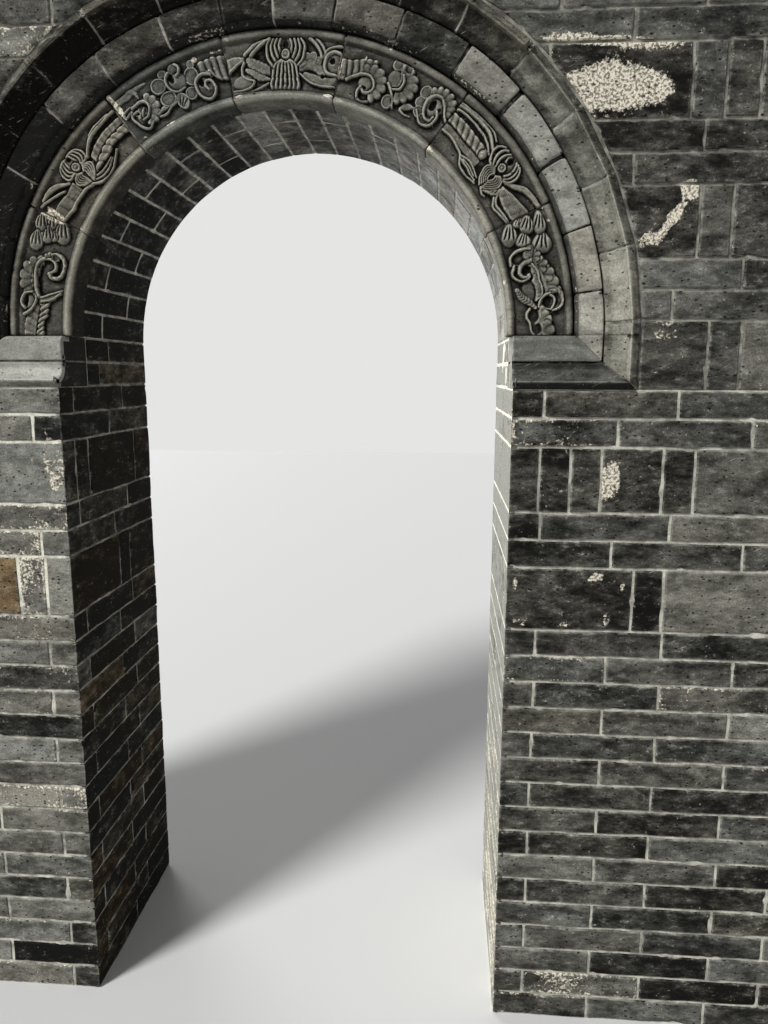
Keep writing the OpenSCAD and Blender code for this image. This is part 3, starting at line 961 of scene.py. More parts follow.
class Relief:
    """A height field in millimetres, drawn on a sheet: x along the band and y down across it."""

    def __init__(self, along, across, sheet):
        left, right, self.top, self.foot = sheet
        self.middle = (left + right) / 2
        self.fine = (self.foot - self.top) / 108
        spots = np.stack([along, across, np.zeros_like(along)], axis=-1)
        self.s = along + .9 * noise(spots, 13, left) + .3 * noise(spots, 4, left + 5)
        self.t = across + .9 * noise(spots, 13, right) + .3 * noise(spots, 4, right + 5)
        self.x = self.s * ALONG + self.middle
        self.y = self.foot - self.t * self.fine
        self.rough = .22 * noise(spots, 2.4, left + 9) + .35 * noise(spots, 9, right + 9)
        self.stray = noise(spots, 6, left + 3)
        self.h = np.zeros_like(along)
        self.lime = np.zeros_like(along)

    def finished(self, step):
        """Fills the narrowest gaps a little, softens the edges and roughens the faces."""
        reach = max(1, round(2.6 / step))
        bed = blurred(blurred(np.minimum(self.h, 5), reach), reach)
        low = np.maximum(self.h, .55 * bed)
        return DEPTH * (.55 * low + .45 * blurred(low, 1)) + self.rough

    def at(self, points):
        """Sheet places turned into millimetres from the block's middle and the band's inner edge."""
        points = np.asarray(points, dtype=float)
        return np.stack([(points[..., 0] - self.middle) / ALONG, (self.foot - points[..., 1]) / self.fine],
                        axis=-1)

    def follow(self, path, reach):
        """Where the field lies near a smooth line: which points, how far off and along, on which side."""
        knots = self.at(path)
        if len(knots) > 2:
            ends = np.concatenate([[2 * knots[0] - knots[1]], knots, [2 * knots[-1] - knots[-2]]])
            turn = np.linspace(0, 1, 7)[:-1, None]
            parts = []
            for a, b, c, d in zip(ends[:-3], ends[1:-2], ends[2:-1], ends[3:]):
                parts.append(.5 * (2 * b + (c - a) * turn + (2 * a - 5 * b + 4 * c - d) * turn ** 2
                                   + (3 * b - a - 3 * c + d) * turn ** 3))
            knots = np.concatenate(parts + [knots[-1:]])
        low, high = knots.min(0) - reach, knots.max(0) + reach
        near = (self.s > low[0]) & (self.s < high[0]) & (self.t > low[1]) & (self.t < high[1])
        spots = np.stack([self.s[near], self.t[near]], axis=-1)
        start, way = knots[:-1], np.diff(knots, axis=0)
        lengths = np.maximum(np.hypot(way[:, 0], way[:, 1]), 1e-6)
        offset = spots[:, None, :] - start[None]
        share = np.clip((offset * way).sum(-1) / lengths ** 2, 0, 1)
        gap = np.hypot(*np.moveaxis(offset - share[..., None] * way, -1, 0))
        best = gap.argmin(1)
        rows = np.arange(len(best))
        before = np.concatenate([[0], lengths.cumsum()])
        along = before[best] + share[rows, best] * lengths[best]
        side = way[best, 0] * offset[rows, best, 1] - way[best, 1] * offset[rows, best, 0]
        return near, gap[rows, best], along, np.sign(side), before[-1]

    def cover(self, near, height, mask):
        """Lays a form over what is there already."""
        self.h[near] = np.where(mask, height, self.h[near])

    def tube(self, path, wide, high, tip=.6, pitch=0.0, over=False, dots=False):
        """A rounded cord; tip is its width at the far end, and pitch marks it into beads."""
        wide = BOLDER * wide
        near, gap, along, side, total = self.follow(path, wide + 1)
        width = wide * (tip + (1 - tip) * smooth(total - along, 0, total * .8))
        height = high * np.clip(1 - (gap / width) ** 2, 0, 1) ** .42
        if pitch:
            height = height * (.76 + .24 * np.abs(np.sin(math.pi * (along + side * gap) / pitch)) ** .7)
        if dots:
            height = np.maximum(height - self.dimples(near), 0)
        if over:
            self.cover(near, height, gap < width)
        else:
            self.h[near] = np.maximum(self.h[near], height)

    def roll(self, path, wide, high, **how):
        """A cord that lies over what is there already."""
        self.tube(path, wide, high, over=True, **how)

    def cords(self, wide, high, *paths, **how):
        """Several cords of one width and height."""
        for path in paths:
            self.tube(path, wide, high, **how)

    def leaf(self, path, wide, high, tip=.3, root=.6, ribs=0.0, slant=.8, scallop=0.0, dots=False):
        """A cushioned blade, widest at its middle, with cross ribs, scalloped edges or dots."""
        near, gap, along, side, total = self.follow(path, wide + 2)
        part = along / total
        from_root = root + (1 - root) * smooth(part, 0, .4)
        to_tip = tip + (1 - tip) * smooth(1 - part, 0, .5)
        width = wide * from_root * to_tip
        if scallop:
            width = width * (.78 + .22 * np.abs(np.sin(math.pi * along / scallop)) ** .6)
        height = high * np.clip(1 - (gap / np.maximum(width, .1)) ** 4, 0, 1) ** .5
        if ribs:
            wave = np.abs(np.sin(math.pi * (along + slant * gap) / ribs)) ** .7
            height = height * (.45 + .55 * wave)
        inside = gap < width
        if dots:
            height = height - self.dimples(near) * inside
        self.cover(near, np.maximum(height, 0), inside)

    def band(self, top, bottom, high, pitch=0.0, slant=0.0, deep=.6, dots=False, round_off=3.0, scallop=0.0):
        """A streamer or body between an upper and a lower line, with grooves across it or dots."""
        top, bottom = np.asarray(top, dtype=float), np.asarray(bottom, dtype=float)
        first, last = top[0, 0], top[-1, 0]
        upper = np.interp(self.x, top[:, 0], top[:, 1])
        lower = np.interp(self.x, bottom[:, 0], bottom[:, 1])
        wave = np.ones_like(self.x)
        if pitch:
            wave = np.abs(np.sin(math.pi * (self.x + slant * (self.y - upper) - first) / pitch)) ** .6
        upper = upper + scallop * (1 - wave)
        lower = lower - scallop * (1 - wave)
        gap = np.minimum(np.minimum(self.y - upper, lower - self.y) / self.fine,
                         np.minimum(self.x - first, last - self.x) / ALONG)
        height = high * np.sqrt(np.clip(1 - (1 - np.clip(gap / round_off, 0, 1)) ** 2, 0, 1))
        height = height * (1 - deep * (1 - wave))
        if dots:
            height = height - self.dimples(slice(None)) * (gap > 1)
        self.h = np.where(gap > 0, np.maximum(height, 0), self.h)

    def dimples(self, near, pitch=3.9, deep=2.8):
        """Uneven rows of small punched holes."""
        s, t = (self.s[near] + self.stray[near]) / pitch, (self.t[near] - self.stray[near]) / (pitch * .9)
        row = np.round(t)
        column = s - .5 * (row % 2)
        gap = np.hypot(column - np.round(column), t - row)
        return deep * smooth(.46 - gap, 0, .36) * (.7 + .9 * self.stray[near])

    def lobe(self, x, y, wide, tall, high, turn=0.0, rim=0.0, dots=False, strokes=0, lean=-30, thin=.30,
             taper=0.0):
        """A rounded lobe; rim hollows its middle, strokes cut gashes in it, taper narrows its near end."""
        centre = self.at((x, y))
        half_wide, half_tall = wide / ALONG, tall / self.fine
        reach = max(half_wide, half_tall) + 1
        near = (np.abs(self.s - centre[0]) < reach) & (np.abs(self.t - centre[1]) < reach)
        ds, dt = self.s[near] - centre[0], self.t[near] - centre[1]
        a, b = turned(ds, dt, turn)
        a, b = a / half_wide, b / half_tall
        ring = np.hypot(a, b / (1 - taper * smooth(-a, -.5, 1)))
        if rim:
            height = high * np.clip(1 - ring ** 8, 0, 1) ** .5 - rim * smooth(1 - ring, .08, thin)
        else:
            height = high * np.sqrt(np.clip(1 - ring ** 3, 0, 1))
        if dots:
            height = height - self.dimples(near) * (ring < .8)
        u, v = turned(ds, dt, lean)
        size = .5 * (half_wide + half_tall)
        u, v = u / size, v / size
        for number in range(strokes):
            offset = (number - .5 * (strokes - 1)) * .44 * (.85 + .45 * u)
            gash = np.hypot((u + .12) / .80, (v - offset) / .115)
            height = height - 8 * smooth(1 - gash, 0, .5) * smooth(.97 - ring, 0, .1)
        self.cover(near, np.maximum(height, .3), ring < 1)

    def petals(self, *petals):
        """Plump petals with three gashes each: middle, half length and width, tilt, and the gashes' lean."""
        for x, y, wide, tall, turn, lean in petals:
            self.lobe(x, y, wide * 1.2, tall * 1.2, 11, turn=turn, strokes=3, lean=lean, taper=.4)

    def cups(self, high, rim, *cups, **how):
        """Hollow lobes with a raised rim."""
        for x, y, wide, tall in cups:
            self.lobe(x, y, wide, tall, high, rim=rim, **how)

    def shell(self, x, y, inner, outer, first, last, folds, high, squash=.89, dots=False, deep=.42):
        """Ruffled folds that spread from a curl's back; angles run anticlockwise from the right."""
        da, db = self.x - x, (y - self.y) / squash
        reach = np.hypot(da, db)
        turn = (np.degrees(np.arctan2(db, da)) - first) % 360
        span = last - first
        wave = np.abs(np.sin(math.pi * folds * turn / span))
        rim = outer * (.86 + .14 * wave ** .7) * (.88 + .12 * np.sin(math.pi * np.clip(turn / span, 0, 1)))
        inside = (turn < span) & (reach < rim) & (reach > inner)
        part = np.clip((reach - inner) / np.maximum(rim - inner, 1), 0, 1)
        height = high * (.45 + .55 * part) * (1 - deep * part ** .5 * (1 - wave ** .6))
        height = height * np.clip(1 - part ** 9, 0, 1) ** .5
        if dots:
            height = height - self.dimples(slice(None)) * (part < .85) * (part > .15)
        self.h = np.where(inside, np.maximum(height, .5), self.h)

    def pit(self, x, y, wide, tall, deep=9):
        """A drilled hollow."""
        ring = np.hypot((self.x - x) / wide, (self.y - y) / tall)
        cut = np.maximum(self.h - deep * smooth(1 - ring, 0, .35), -2.5)
        self.h = np.where(ring < 1, np.minimum(self.h, cut), self.h)

    def smear(self, *spots):
        """Old lime left on the block: middle, half width, half height and amount."""
        for x, y, wide, tall, amount in spots:
            ring = np.hypot((self.x - x) / wide, (self.y - y) / tall)
            self.lime = np.maximum(self.lime, amount * smooth(1.35 - ring, 0, .6))


def boss(r, x, y, size):
    """The round boss that ties a bow."""
    r.lobe(x, y, size + 12, size + 12, 2.5)
    r.lobe(x, y, size, size * .92, 11, rim=5, thin=.42)
    r.lobe(x, y, size * .34, size * .32, 9)


def petals_left(r):
    """Left springing: a leafy body, a hooked roll, a plume with a beaded scroll, and petals."""
    r.band([(100, 762), (200, 765), (320, 800), (460, 905)],
           [(100, 868), (240, 892), (340, 912), (460, 935)], 5.5, pitch=66, slant=.5, deep=.35, dots=True)
    r.band([(95, 872), (230, 895), (330, 915), (470, 920)],
           [(95, 950), (230, 950), (300, 985), (400, 995), (470, 1010)], 10, pitch=58, slant=-.9, deep=.6,
           scallop=12, dots=True)
    r.shell(665, 905, 60, 262, 2, 172, 7, 9.5, squash=.80, dots=True, deep=.5)
    r.shell(655, 890, 40, 150, 12, 166, 6, 10, squash=.55, dots=True, deep=.5)
    r.lobe(430, 812, 88, 56, 5)
    r.roll([(368, 778), (400, 752), (455, 750), (508, 782), (532, 842)], 3.4, 11.5)
    r.roll([(300, 770), (345, 832), (400, 862), (460, 880), (520, 872)], 3.0, 11, tip=.8)
    r.pit(430, 788, 66, 18, 8)
    r.lobe(700, 950, 170, 62, .5)
    r.roll([(470, 915), (530, 885), (620, 862), (720, 848), (810, 852), (868, 888), (888, 945), (862, 1000),
            (810, 1020), (765, 1000), (745, 962)], 3.8, 12, tip=.8)
    r.pit(600, 904, 74, 15, 6)
    r.pit(740, 892, 84, 14, 6)
    r.shell(850, 960, 46, 108, -42, 58, 4, 9.5, squash=1, dots=True, deep=.5)
    r.roll([(738, 966), (702, 1000), (716, 1052), (780, 1086), (862, 1090), (930, 1062), (955, 1005),
           (935, 958)], 4.4, 11.5, tip=.8, pitch=13)
    r.cups(10.5, 6, (915, 992, 38, 38))
    r.pit(750, 1014, 24, 24, 6)
    r.roll([(452, 930), (480, 1005), (560, 1092)], 6.5, 7.5, dots=True)
    r.cords(2.3, 11, [(446, 930), (462, 985), (500, 1045), (560, 1090)],
            [(482, 915), (500, 960), (540, 1020), (590, 1105)], pitch=5, over=True, tip=.9)
    r.petals((1190, 985, 104, 66, 198, 198), (1126, 925, 52, 44, 200, 196), (1232, 862, 74, 56, 190, 196),
             (1118, 862, 78, 56, 192, 198), (1205, 782, 88, 52, 190, 198), (1030, 785, 88, 56, 186, 196))
    r.smear((1285, 860, 40, 130, .95), (180, 1130, 60, 14, .2), (800, 770, 22, 14, .5),
            (1270, 1120, 60, 18, .5))


def bow_left(r):
    """Upper left: a leafy tail, a bow knot and corrugated streamers."""
    r.leaf([(225, 735), (330, 750), (420, 800), (500, 868)], 6.5, 7.5, root=.7, dots=True, tip=.5)
    r.tube([(165, 742), (260, 785), (340, 830), (405, 868)], 2.3, 10.5, tip=.9)
    r.band([(150, 860), (280, 862), (400, 888), (530, 880)],
           [(150, 965), (250, 1000), (400, 1005), (530, 1000)], 8, dots=True, pitch=118, deep=.35)
    r.tube([(150, 968), (200, 980), (300, 1002), (420, 1000), (560, 1015), (640, 1045)], 3.6, 10.5, tip=.8)
    r.band([(820, 862), (900, 800), (970, 758), (1060, 742), (1240, 745)],
           [(820, 868), (900, 812), (970, 780), (1060, 766), (1240, 765)], 8, round_off=2)
    r.tube([(815, 868), (900, 818), (980, 788), (1100, 778), (1290, 768)], 2.8, 11.5, tip=.9)
    r.band([(835, 885), (960, 848), (1100, 830), (1320, 825)],
           [(835, 955), (960, 922), (1100, 902), (1320, 892)], 7.5, pitch=66, slant=.1, deep=.30, dots=True)
    r.band([(770, 985), (850, 960), (960, 926), (1100, 905), (1320, 897)],
           [(770, 1012), (850, 1005), (1000, 1000), (1120, 965), (1320, 978)], 12, pitch=84, slant=-.9,
           deep=.4, scallop=7)
    r.roll([(640, 1035), (700, 1080), (800, 1108), (920, 1098), (1010, 1055), (1085, 1015)], 2.8, 10.5)
    r.cords(2.0, 9, [(705, 1042), (790, 1072), (890, 1068), (990, 1035)],
            [(720, 1018), (800, 1040), (900, 1035), (980, 1020)])
    r.lobe(665, 950, 140, 82, 4.5)
    r.lobe(665, 790, 160, 78, 3.5)
    for number in range(5):
        wide, rise = 128 - 25 * number, 66 - 9 * number
        r.tube([(668 - 14, 1022 - 6 * number), (668 - wide * .7, 945 + rise * .66), (668 - wide, 935),
               (668 - wide * .75, 895 + 5 * number), (668 - wide * .3, 884 + 7 * number)], 1.9, 10, tip=.8,
               pitch=4.4)
        r.tube([(672 + 14, 1030 - 6 * number), (672 + wide * .68, 945 + rise * .7), (672 + wide, 930),
               (672 + wide * .75, 895 + 5 * number), (672 + wide * .3, 884 + 7 * number)], 2.1, 11, tip=.8,
               pitch=4.4)
    for number in range(4):
        part = 1 - number * .23
        r.tube([(640 - 12 * part, 872), (665 - 135 * part, 860 - 12 * number), (665 - 150 * part, 800),
                (665 - 115 * part, 750 - 2 * number), (665 - 52 * part, 727)], 2.0, 10, tip=.8, pitch=4.2)
        r.tube([(690 + 12 * part, 878), (665 + 130 * part, 865 - 12 * number), (665 + 152 * part, 805),
                (665 + 118 * part, 752 - 2 * number), (665 + 55 * part, 727)], 2.1, 11, tip=.8, pitch=5.2)
    r.pit(672, 752, 24, 24)
    boss(r, 665, 842, 42)
    r.smear((165, 860, 45, 120, .85), (160, 1130, 70, 22, .6), (215, 730, 40, 16, .5),
            (1290, 940, 25, 40, .4))


def clouds_left(r):
    """Left of the key: three rolled clouds with dotted lobes and a ribbed tail."""
    r.leaf([(205, 768), (300, 772), (420, 762), (520, 765)], 8, 5, dots=True, root=.9)
    r.leaf([(345, 742), (390, 780), (400, 830)], 6, 6, ribs=4)
    r.tube([(195, 872), (290, 862), (390, 880)], 2.2, 8)
    r.leaf([(205, 905), (280, 900), (350, 905)], 5, 6)
    r.shell(400, 945, 50, 168, -112, 66, 6, 10.5, dots=True, deep=.5)
    r.lobe(352, 955, 92, 86, 4)
    r.roll([(275, 905), (250, 950), (268, 1010), (300, 1065), (352, 1092), (420, 1062)], 2.8, 10)
    r.roll([(300, 880), (400, 872), (452, 905), (440, 962), (395, 1005), (335, 1003)], 3.0, 11)
    r.roll([(275, 925), (325, 922), (345, 950), (318, 985)], 2.3, 9.5)
    r.leaf([(352, 985), (372, 950), (402, 925)], 4, 9)
    r.pit(322, 940, 22, 14, 6)
    r.leaf([(500, 1035), (580, 1020), (660, 1012), (745, 1012)], 6, 8, dots=True, root=.5)
    r.tube([(505, 1058), (570, 1070), (650, 1040), (740, 1022)], 2.0, 9.5)
    r.cups(11, 6.5, (625, 848, 78, 66), (702, 772, 44, 30), (662, 972, 86, 60), (958, 888, 74, 74),
           (905, 1012, 62, 52), (985, 800, 34, 36), dots=True, thin=.24)
    r.lobe(792, 1040, 62, 70, 10.5, turn=12, rim=5, thin=.24, strokes=3, lean=50)
    r.lobe(822, 780, 56, 44, 10, rim=4.5, thin=.24, dots=True)
    r.lobe(812, 885, 92, 82, 5.5)
    r.roll([(758, 790), (715, 822), (706, 880), (742, 940), (800, 962), (862, 950)], 2.8, 11, pitch=5)
    r.roll([(842, 752), (868, 785), (852, 822), (822, 838)], 2.9, 11.5, tip=.8)
    r.pit(768, 845, 28, 40, 7)
    r.pit(892, 800, 14, 42, 6)
    r.band([(1045, 808), (1180, 800), (1330, 812)], [(1045, 905), (1150, 930), (1240, 1000), (1330, 1012)],
           9.5, pitch=62, slant=-.12, deep=.62, scallop=9)
    r.lobe(1068, 1012, 98, 98, 5)
    r.roll([(1135, 925), (1070, 905), (1005, 925), (968, 975), (978, 1045), (1020, 1092), (1085, 1112),
           (1140, 1085), (1160, 1030), (1128, 975), (1082, 968), (1062, 1000), (1082, 1035)], 3.3, 11.5,
           pitch=5.5, tip=.9)
    r.pit(1035, 965, 30, 34, 7)
    r.tube([(1100, 890), (1160, 930), (1215, 975), (1290, 1000)], 2.0, 7)
    r.smear((185, 790, 26, 120, .95), (180, 690, 26, 28, .9), (1028, 772, 28, 22, .9),
            (1240, 765, 70, 12, .7), (565, 1150, 55, 14, .9), (1290, 1120, 30, 50, .5),
            (880, 1075, 40, 12, .3))


def key_block(r):
    """Over the crown: an upright bow knot between ribbons, streamers and a ring scroll."""
    r.band([(165, 850), (250, 842), (335, 862)], [(165, 962), (250, 918), (335, 895)], 6, dots=True)
    r.tube([(165, 958), (235, 920), (312, 890)], 2.4, 9)
    r.lobe(300, 1048, 112, 58, 6)
    r.roll([(330, 905), (302, 950), (305, 1000), (355, 1038), (412, 1050), (375, 1088), (280, 1108),
           (180, 1100)], 2.4, 9.5)
    r.pit(235, 965, 62, 30, 8)
    r.leaf([(345, 845), (430, 790), (540, 748)], 4.6, 7.5, dots=True, root=.8)
    r.roll([(392, 872), (445, 825), (515, 778), (592, 742)], 3.0, 11.5, tip=.9)
    r.leaf([(385, 895), (430, 930), (490, 960), (590, 985)], 15, 8.5, ribs=4.6, slant=1.1, scallop=11,
           root=.7, tip=.7)
    r.leaf([(350, 960), (400, 985), (470, 1020), (585, 1050)], 9, 7, ribs=4.4, slant=.9, scallop=9)
    r.tube([(180, 1118), (300, 1130), (420, 1118), (560, 1075)], 2.0, 7, tip=.8)
    r.pit(500, 870, 66, 30, 6)
    r.leaf([(885, 965), (960, 930), (1045, 945), (1105, 985)], 13, 7.5, dots=True, root=.7, tip=.7)
    r.leaf([(940, 1010), (1050, 1040), (1160, 1050), (1250, 1030)], 11, 7.5, dots=True, root=.6, tip=.8)
    r.cords(2.0, 8.5, [(870, 1000), (980, 1060), (1100, 1085), (1250, 1072)])
    r.cups(9, 4, (945, 880, 34, 34), (1000, 872, 34, 36), (1052, 900, 34, 36), dots=True)
    r.leaf([(868, 968), (905, 950), (940, 930)], 4, 9)
    r.tube([(955, 742), (1010, 780), (1058, 825), (1082, 872)], 3.0, 11.5, tip=.9)
    r.tube([(1015, 742), (1075, 785), (1112, 835)], 2.4, 8.5, tip=.9, pitch=4)
    r.tube([(1098, 870), (1130, 812), (1185, 780), (1255, 768)], 2.2, 9, tip=.9)
    r.lobe(1195, 895, 92, 88, 5, dots=True)
    r.roll([(1255, 822), (1185, 818), (1128, 862), (1118, 925), (1155, 980), (1255, 992)], 3.8, 10.5,
           pitch=4.2, tip=.9)
    r.pit(1188, 885, 28, 26)
    r.pit(1114, 1012, 22, 20)
    r.pit(908, 1088, 24, 16, 6)
    r.lobe(735, 850, 185, 105, 3)
    r.band([(585, 925), (640, 900), (735, 890), (830, 900), (875, 925)],
           [(585, 1125), (735, 1128), (875, 1125)], 4.5)
    for number in range(7):
        lean = number - 3
        r.tube([(735 + 10 * lean, 900 + 2 * abs(lean)), (735 + 34 * lean, 945), (735 + 43 * lean, 1032)],
               2.5, 11, tip=.9)
        r.tube([(735 + 42 * lean, 1046), (735 + 48 * lean, 1085), (735 + 46 * lean, 1126)], 2.7, 10, tip=.9)
    for side in (-1, 1):
        r.cords(2.3, 11.5, [(735 + side * 128, 948), (735 + side * 165, 900), (735 + side * 178, 840),
                (735 + side * 172, 790), (735 + side * 140, 748)],
                [(735 + side * 98, 915), (735 + side * 128, 868), (735 + side * 137, 815),
                (735 + side * 112, 748)], [(735 + side * 72, 890), (735 + side * 92, 845),
                (735 + side * 97, 800), (735 + side * 78, 748)],
                [(735 + side * 45, 866), (735 + side * 56, 825), (735 + side * 56, 785),
                (735 + side * 42, 750)], tip=.8)
    r.pit(735, 786, 27, 40)
    boss(r, 735, 862, 42)
    r.smear((190, 715, 50, 24, .6), (165, 1010, 20, 60, .5), (230, 1150, 60, 18, .8),
            (1262, 900, 14, 90, .9), (1200, 1150, 60, 16, .9), (280, 715, 16, 12, .6))


def clouds_right(r):
    """Right of the key: a corrugated tail and three rolled clouds."""
    r.band([(100, 835), (200, 828), (300, 798), (440, 770)],
           [(100, 1005), (180, 990), (260, 930), (440, 900)], 9, pitch=58, slant=-.18, deep=.6, scallop=8)
    r.shell(412, 965, 62, 190, -72, 128, 7, 11.5)
    r.lobe(390, 968, 78, 68, 5.5)
    r.roll([(195, 985), (255, 945), (330, 912), (400, 905), (455, 935), (478, 985), (450, 1028), (395, 1040),
            (362, 1018)], 3.2, 11.5, pitch=3.8, tip=.8)
    r.pit(382, 1002, 28, 14, 7)
    r.roll([(352, 1005), (332, 1045), (345, 1095), (392, 1115), (460, 1098)], 2.7, 10.5, tip=.7)
    r.pit(362, 1060, 18, 26, 6)
    r.shell(672, 880, 76, 202, -78, 100, 7, 12.5, deep=.36)
    r.lobe(645, 855, 78, 74, 7.5)
    r.cups(11, 6.5, (618, 745, 48, 50), (722, 745, 38, 38), thin=.28)
    r.roll([(700, 800), (728, 850), (712, 915), (650, 940)], 2.8, 11.5, tip=.8)
    r.roll([(675, 792), (700, 840), (688, 895), (640, 915)], 1.6, 9.5, tip=.8)
    r.roll([(598, 908), (650, 955), (692, 1008), (722, 1062)], 2.9, 11.5)
    r.lobe(650, 1038, 56, 56, 9.5, rim=6, thin=.26)
    r.leaf([(808, 1040), (860, 1000), (930, 985)], 8, 7, dots=True)
    r.tube([(805, 1052), (865, 1068), (930, 1055)], 1.8, 8)
    r.shell(1100, 888, 92, 196, -4, 140, 7, 11, deep=.5)
    r.cups(10.5, 6, (950, 832, 54, 54), (952, 918, 54, 46), (985, 985, 60, 48), (1060, 1010, 62, 46),
           thin=.26)
    r.lobe(1085, 890, 92, 90, 5)
    r.roll([(1165, 838), (1105, 800), (1038, 818), (1000, 878), (1012, 948), (1062, 1000), (1118, 1002),
           (1130, 962)], 3.6, 11.5, pitch=4, tip=.8)
    r.roll([(1128, 905), (1160, 950), (1152, 1010), (1105, 1052), (1035, 1050), (955, 985)], 2.7, 10.5,
           tip=.7)
    r.roll([(1120, 808), (1168, 848), (1210, 898), (1258, 926)], 2.7, 10.5, tip=.8)
    r.pit(1066, 888, 40, 50, 7)
    r.pit(1140, 888, 18, 18, 5)
    r.smear((112, 900, 10, 90, .9), (320, 790, 9, 26, .9), (270, 1090, 14, 34, .8), (508, 662, 16, 12, .9),
            (150, 1160, 60, 26, .7), (1290, 1160, 50, 20, .8), (870, 1068, 50, 7, .5))


def bow_block(r):
    """Upper right: ribbons and a corrugated streamer, a bow knot and a flared, dotted end."""
    r.tube([(110, 738), (240, 722), (380, 722), (480, 738), (590, 798)], 4.0, 10, tip=.8, pitch=4)
    r.tube([(110, 770), (260, 764), (420, 778), (520, 802), (600, 850)], 2.2, 10, tip=.9)
    r.tube([(110, 712), (300, 700), (470, 700), (560, 735)], 1.6, 8, tip=.9)
    r.band([(98, 800), (300, 815), (480, 832), (590, 842)], [(98, 892), (300, 918), (480, 928), (590, 930)],
           11.5, pitch=72, slant=-.55, deep=.45, scallop=4)
    r.lobe(560, 888, 42, 44, 11.5)
    r.band([(98, 900), (300, 925), (595, 938)], [(98, 958), (300, 985), (595, 1000)], 5.5, dots=True,
           round_off=2)
    r.tube([(98, 968), (235, 975), (385, 1010), (440, 1050), (500, 1088), (600, 1098), (720, 1080)], 2.2,
           8.5, tip=.8)
    r.cords(2.0, 8.5, [(425, 1022), (520, 1000), (600, 1012), (690, 1038)],
            [(440, 1040), (540, 1050), (620, 1062), (700, 1068)], [(470, 1030), (560, 1030), (660, 1050)],
            tip=.7)
    r.leaf([(905, 868), (980, 820), (1080, 750), (1245, 715)], 6.5, 9, dots=True, root=.6, tip=.8)
    r.band([(915, 895), (1010, 870), (1120, 840), (1255, 800)],
           [(915, 905), (960, 968), (1100, 985), (1255, 962)], 9, dots=True, pitch=104, slant=.3, deep=.2)
    r.tube([(930, 935), (980, 1000), (1050, 1022), (1140, 1008), (1255, 990)], 2.6, 9, pitch=4, tip=.8)
    r.cords(2.0, 8.5, [(955, 1010), (1040, 1052), (1130, 1035), (1250, 1008)], tip=.8)
    for number in range(4):
        r.tube([(838 + 26 * number, 1052 - 12 * number), (868 + 24 * number, 1020 - 12 * number),
                (895 + 10 * number, 985 - 14 * number)], 2.0, 9.5)
    r.tube([(795, 1055), (850, 1075), (900, 1068)], 2.0, 9)
    r.lobe(760, 800, 165, 92, 3)
    r.lobe(778, 955, 118, 100, 3)
    for number in range(5):
        wide, tall = 112 - 22 * number, 106 - 18 * number
        path = [(782 - wide * .35, 878 + 7 * number), (782 - wide * .85, 900 + 5 * number),
                (782 - wide, 945), (782 - wide * .66, 950 + tall * .6), (782 - wide * .1, 950 + tall)]
        r.tube(path, 1.9, 10.5, tip=.8)
        other = [(788 + wide * .35, 878 + 7 * number), (788 + wide * .85, 900 + 5 * number),
                 (788 + wide, 940), (788 + wide * .66, 945 + tall * .6), (788 + wide * .1, 950 + tall)]
        r.tube(other, 1.9, 10.5, tip=.8)
    r.cords(2.4, 11, [(690, 890), (640, 862), (605, 800), (610, 745), (655, 708)],
            [(705, 875), (672, 838), (655, 785), (665, 735), (692, 706)],
            [(735, 862), (708, 822), (700, 775), (712, 735), (730, 708)],
            [(880, 880), (925, 835), (928, 780), (900, 730), (868, 708)],
            [(865, 868), (895, 822), (892, 770), (868, 728), (842, 706)],
            [(845, 850), (862, 808), (858, 765), (838, 728), (822, 708)], tip=.8)
    r.tube([(700, 880), (770, 850), (800, 815), (760, 785), (738, 745), (752, 712)], 2.2, 9.5)
    r.pit(775, 742, 30, 34)
    boss(r, 775, 828, 38)
    r.pit(640, 975, 30, 40, 6)
    r.smear((130, 1165, 60, 20, .8), (1240, 700, 26, 22, .5), (600, 1170, 40, 14, .5),
            (545, 880, 14, 20, .6), (1250, 1160, 30, 20, .6))


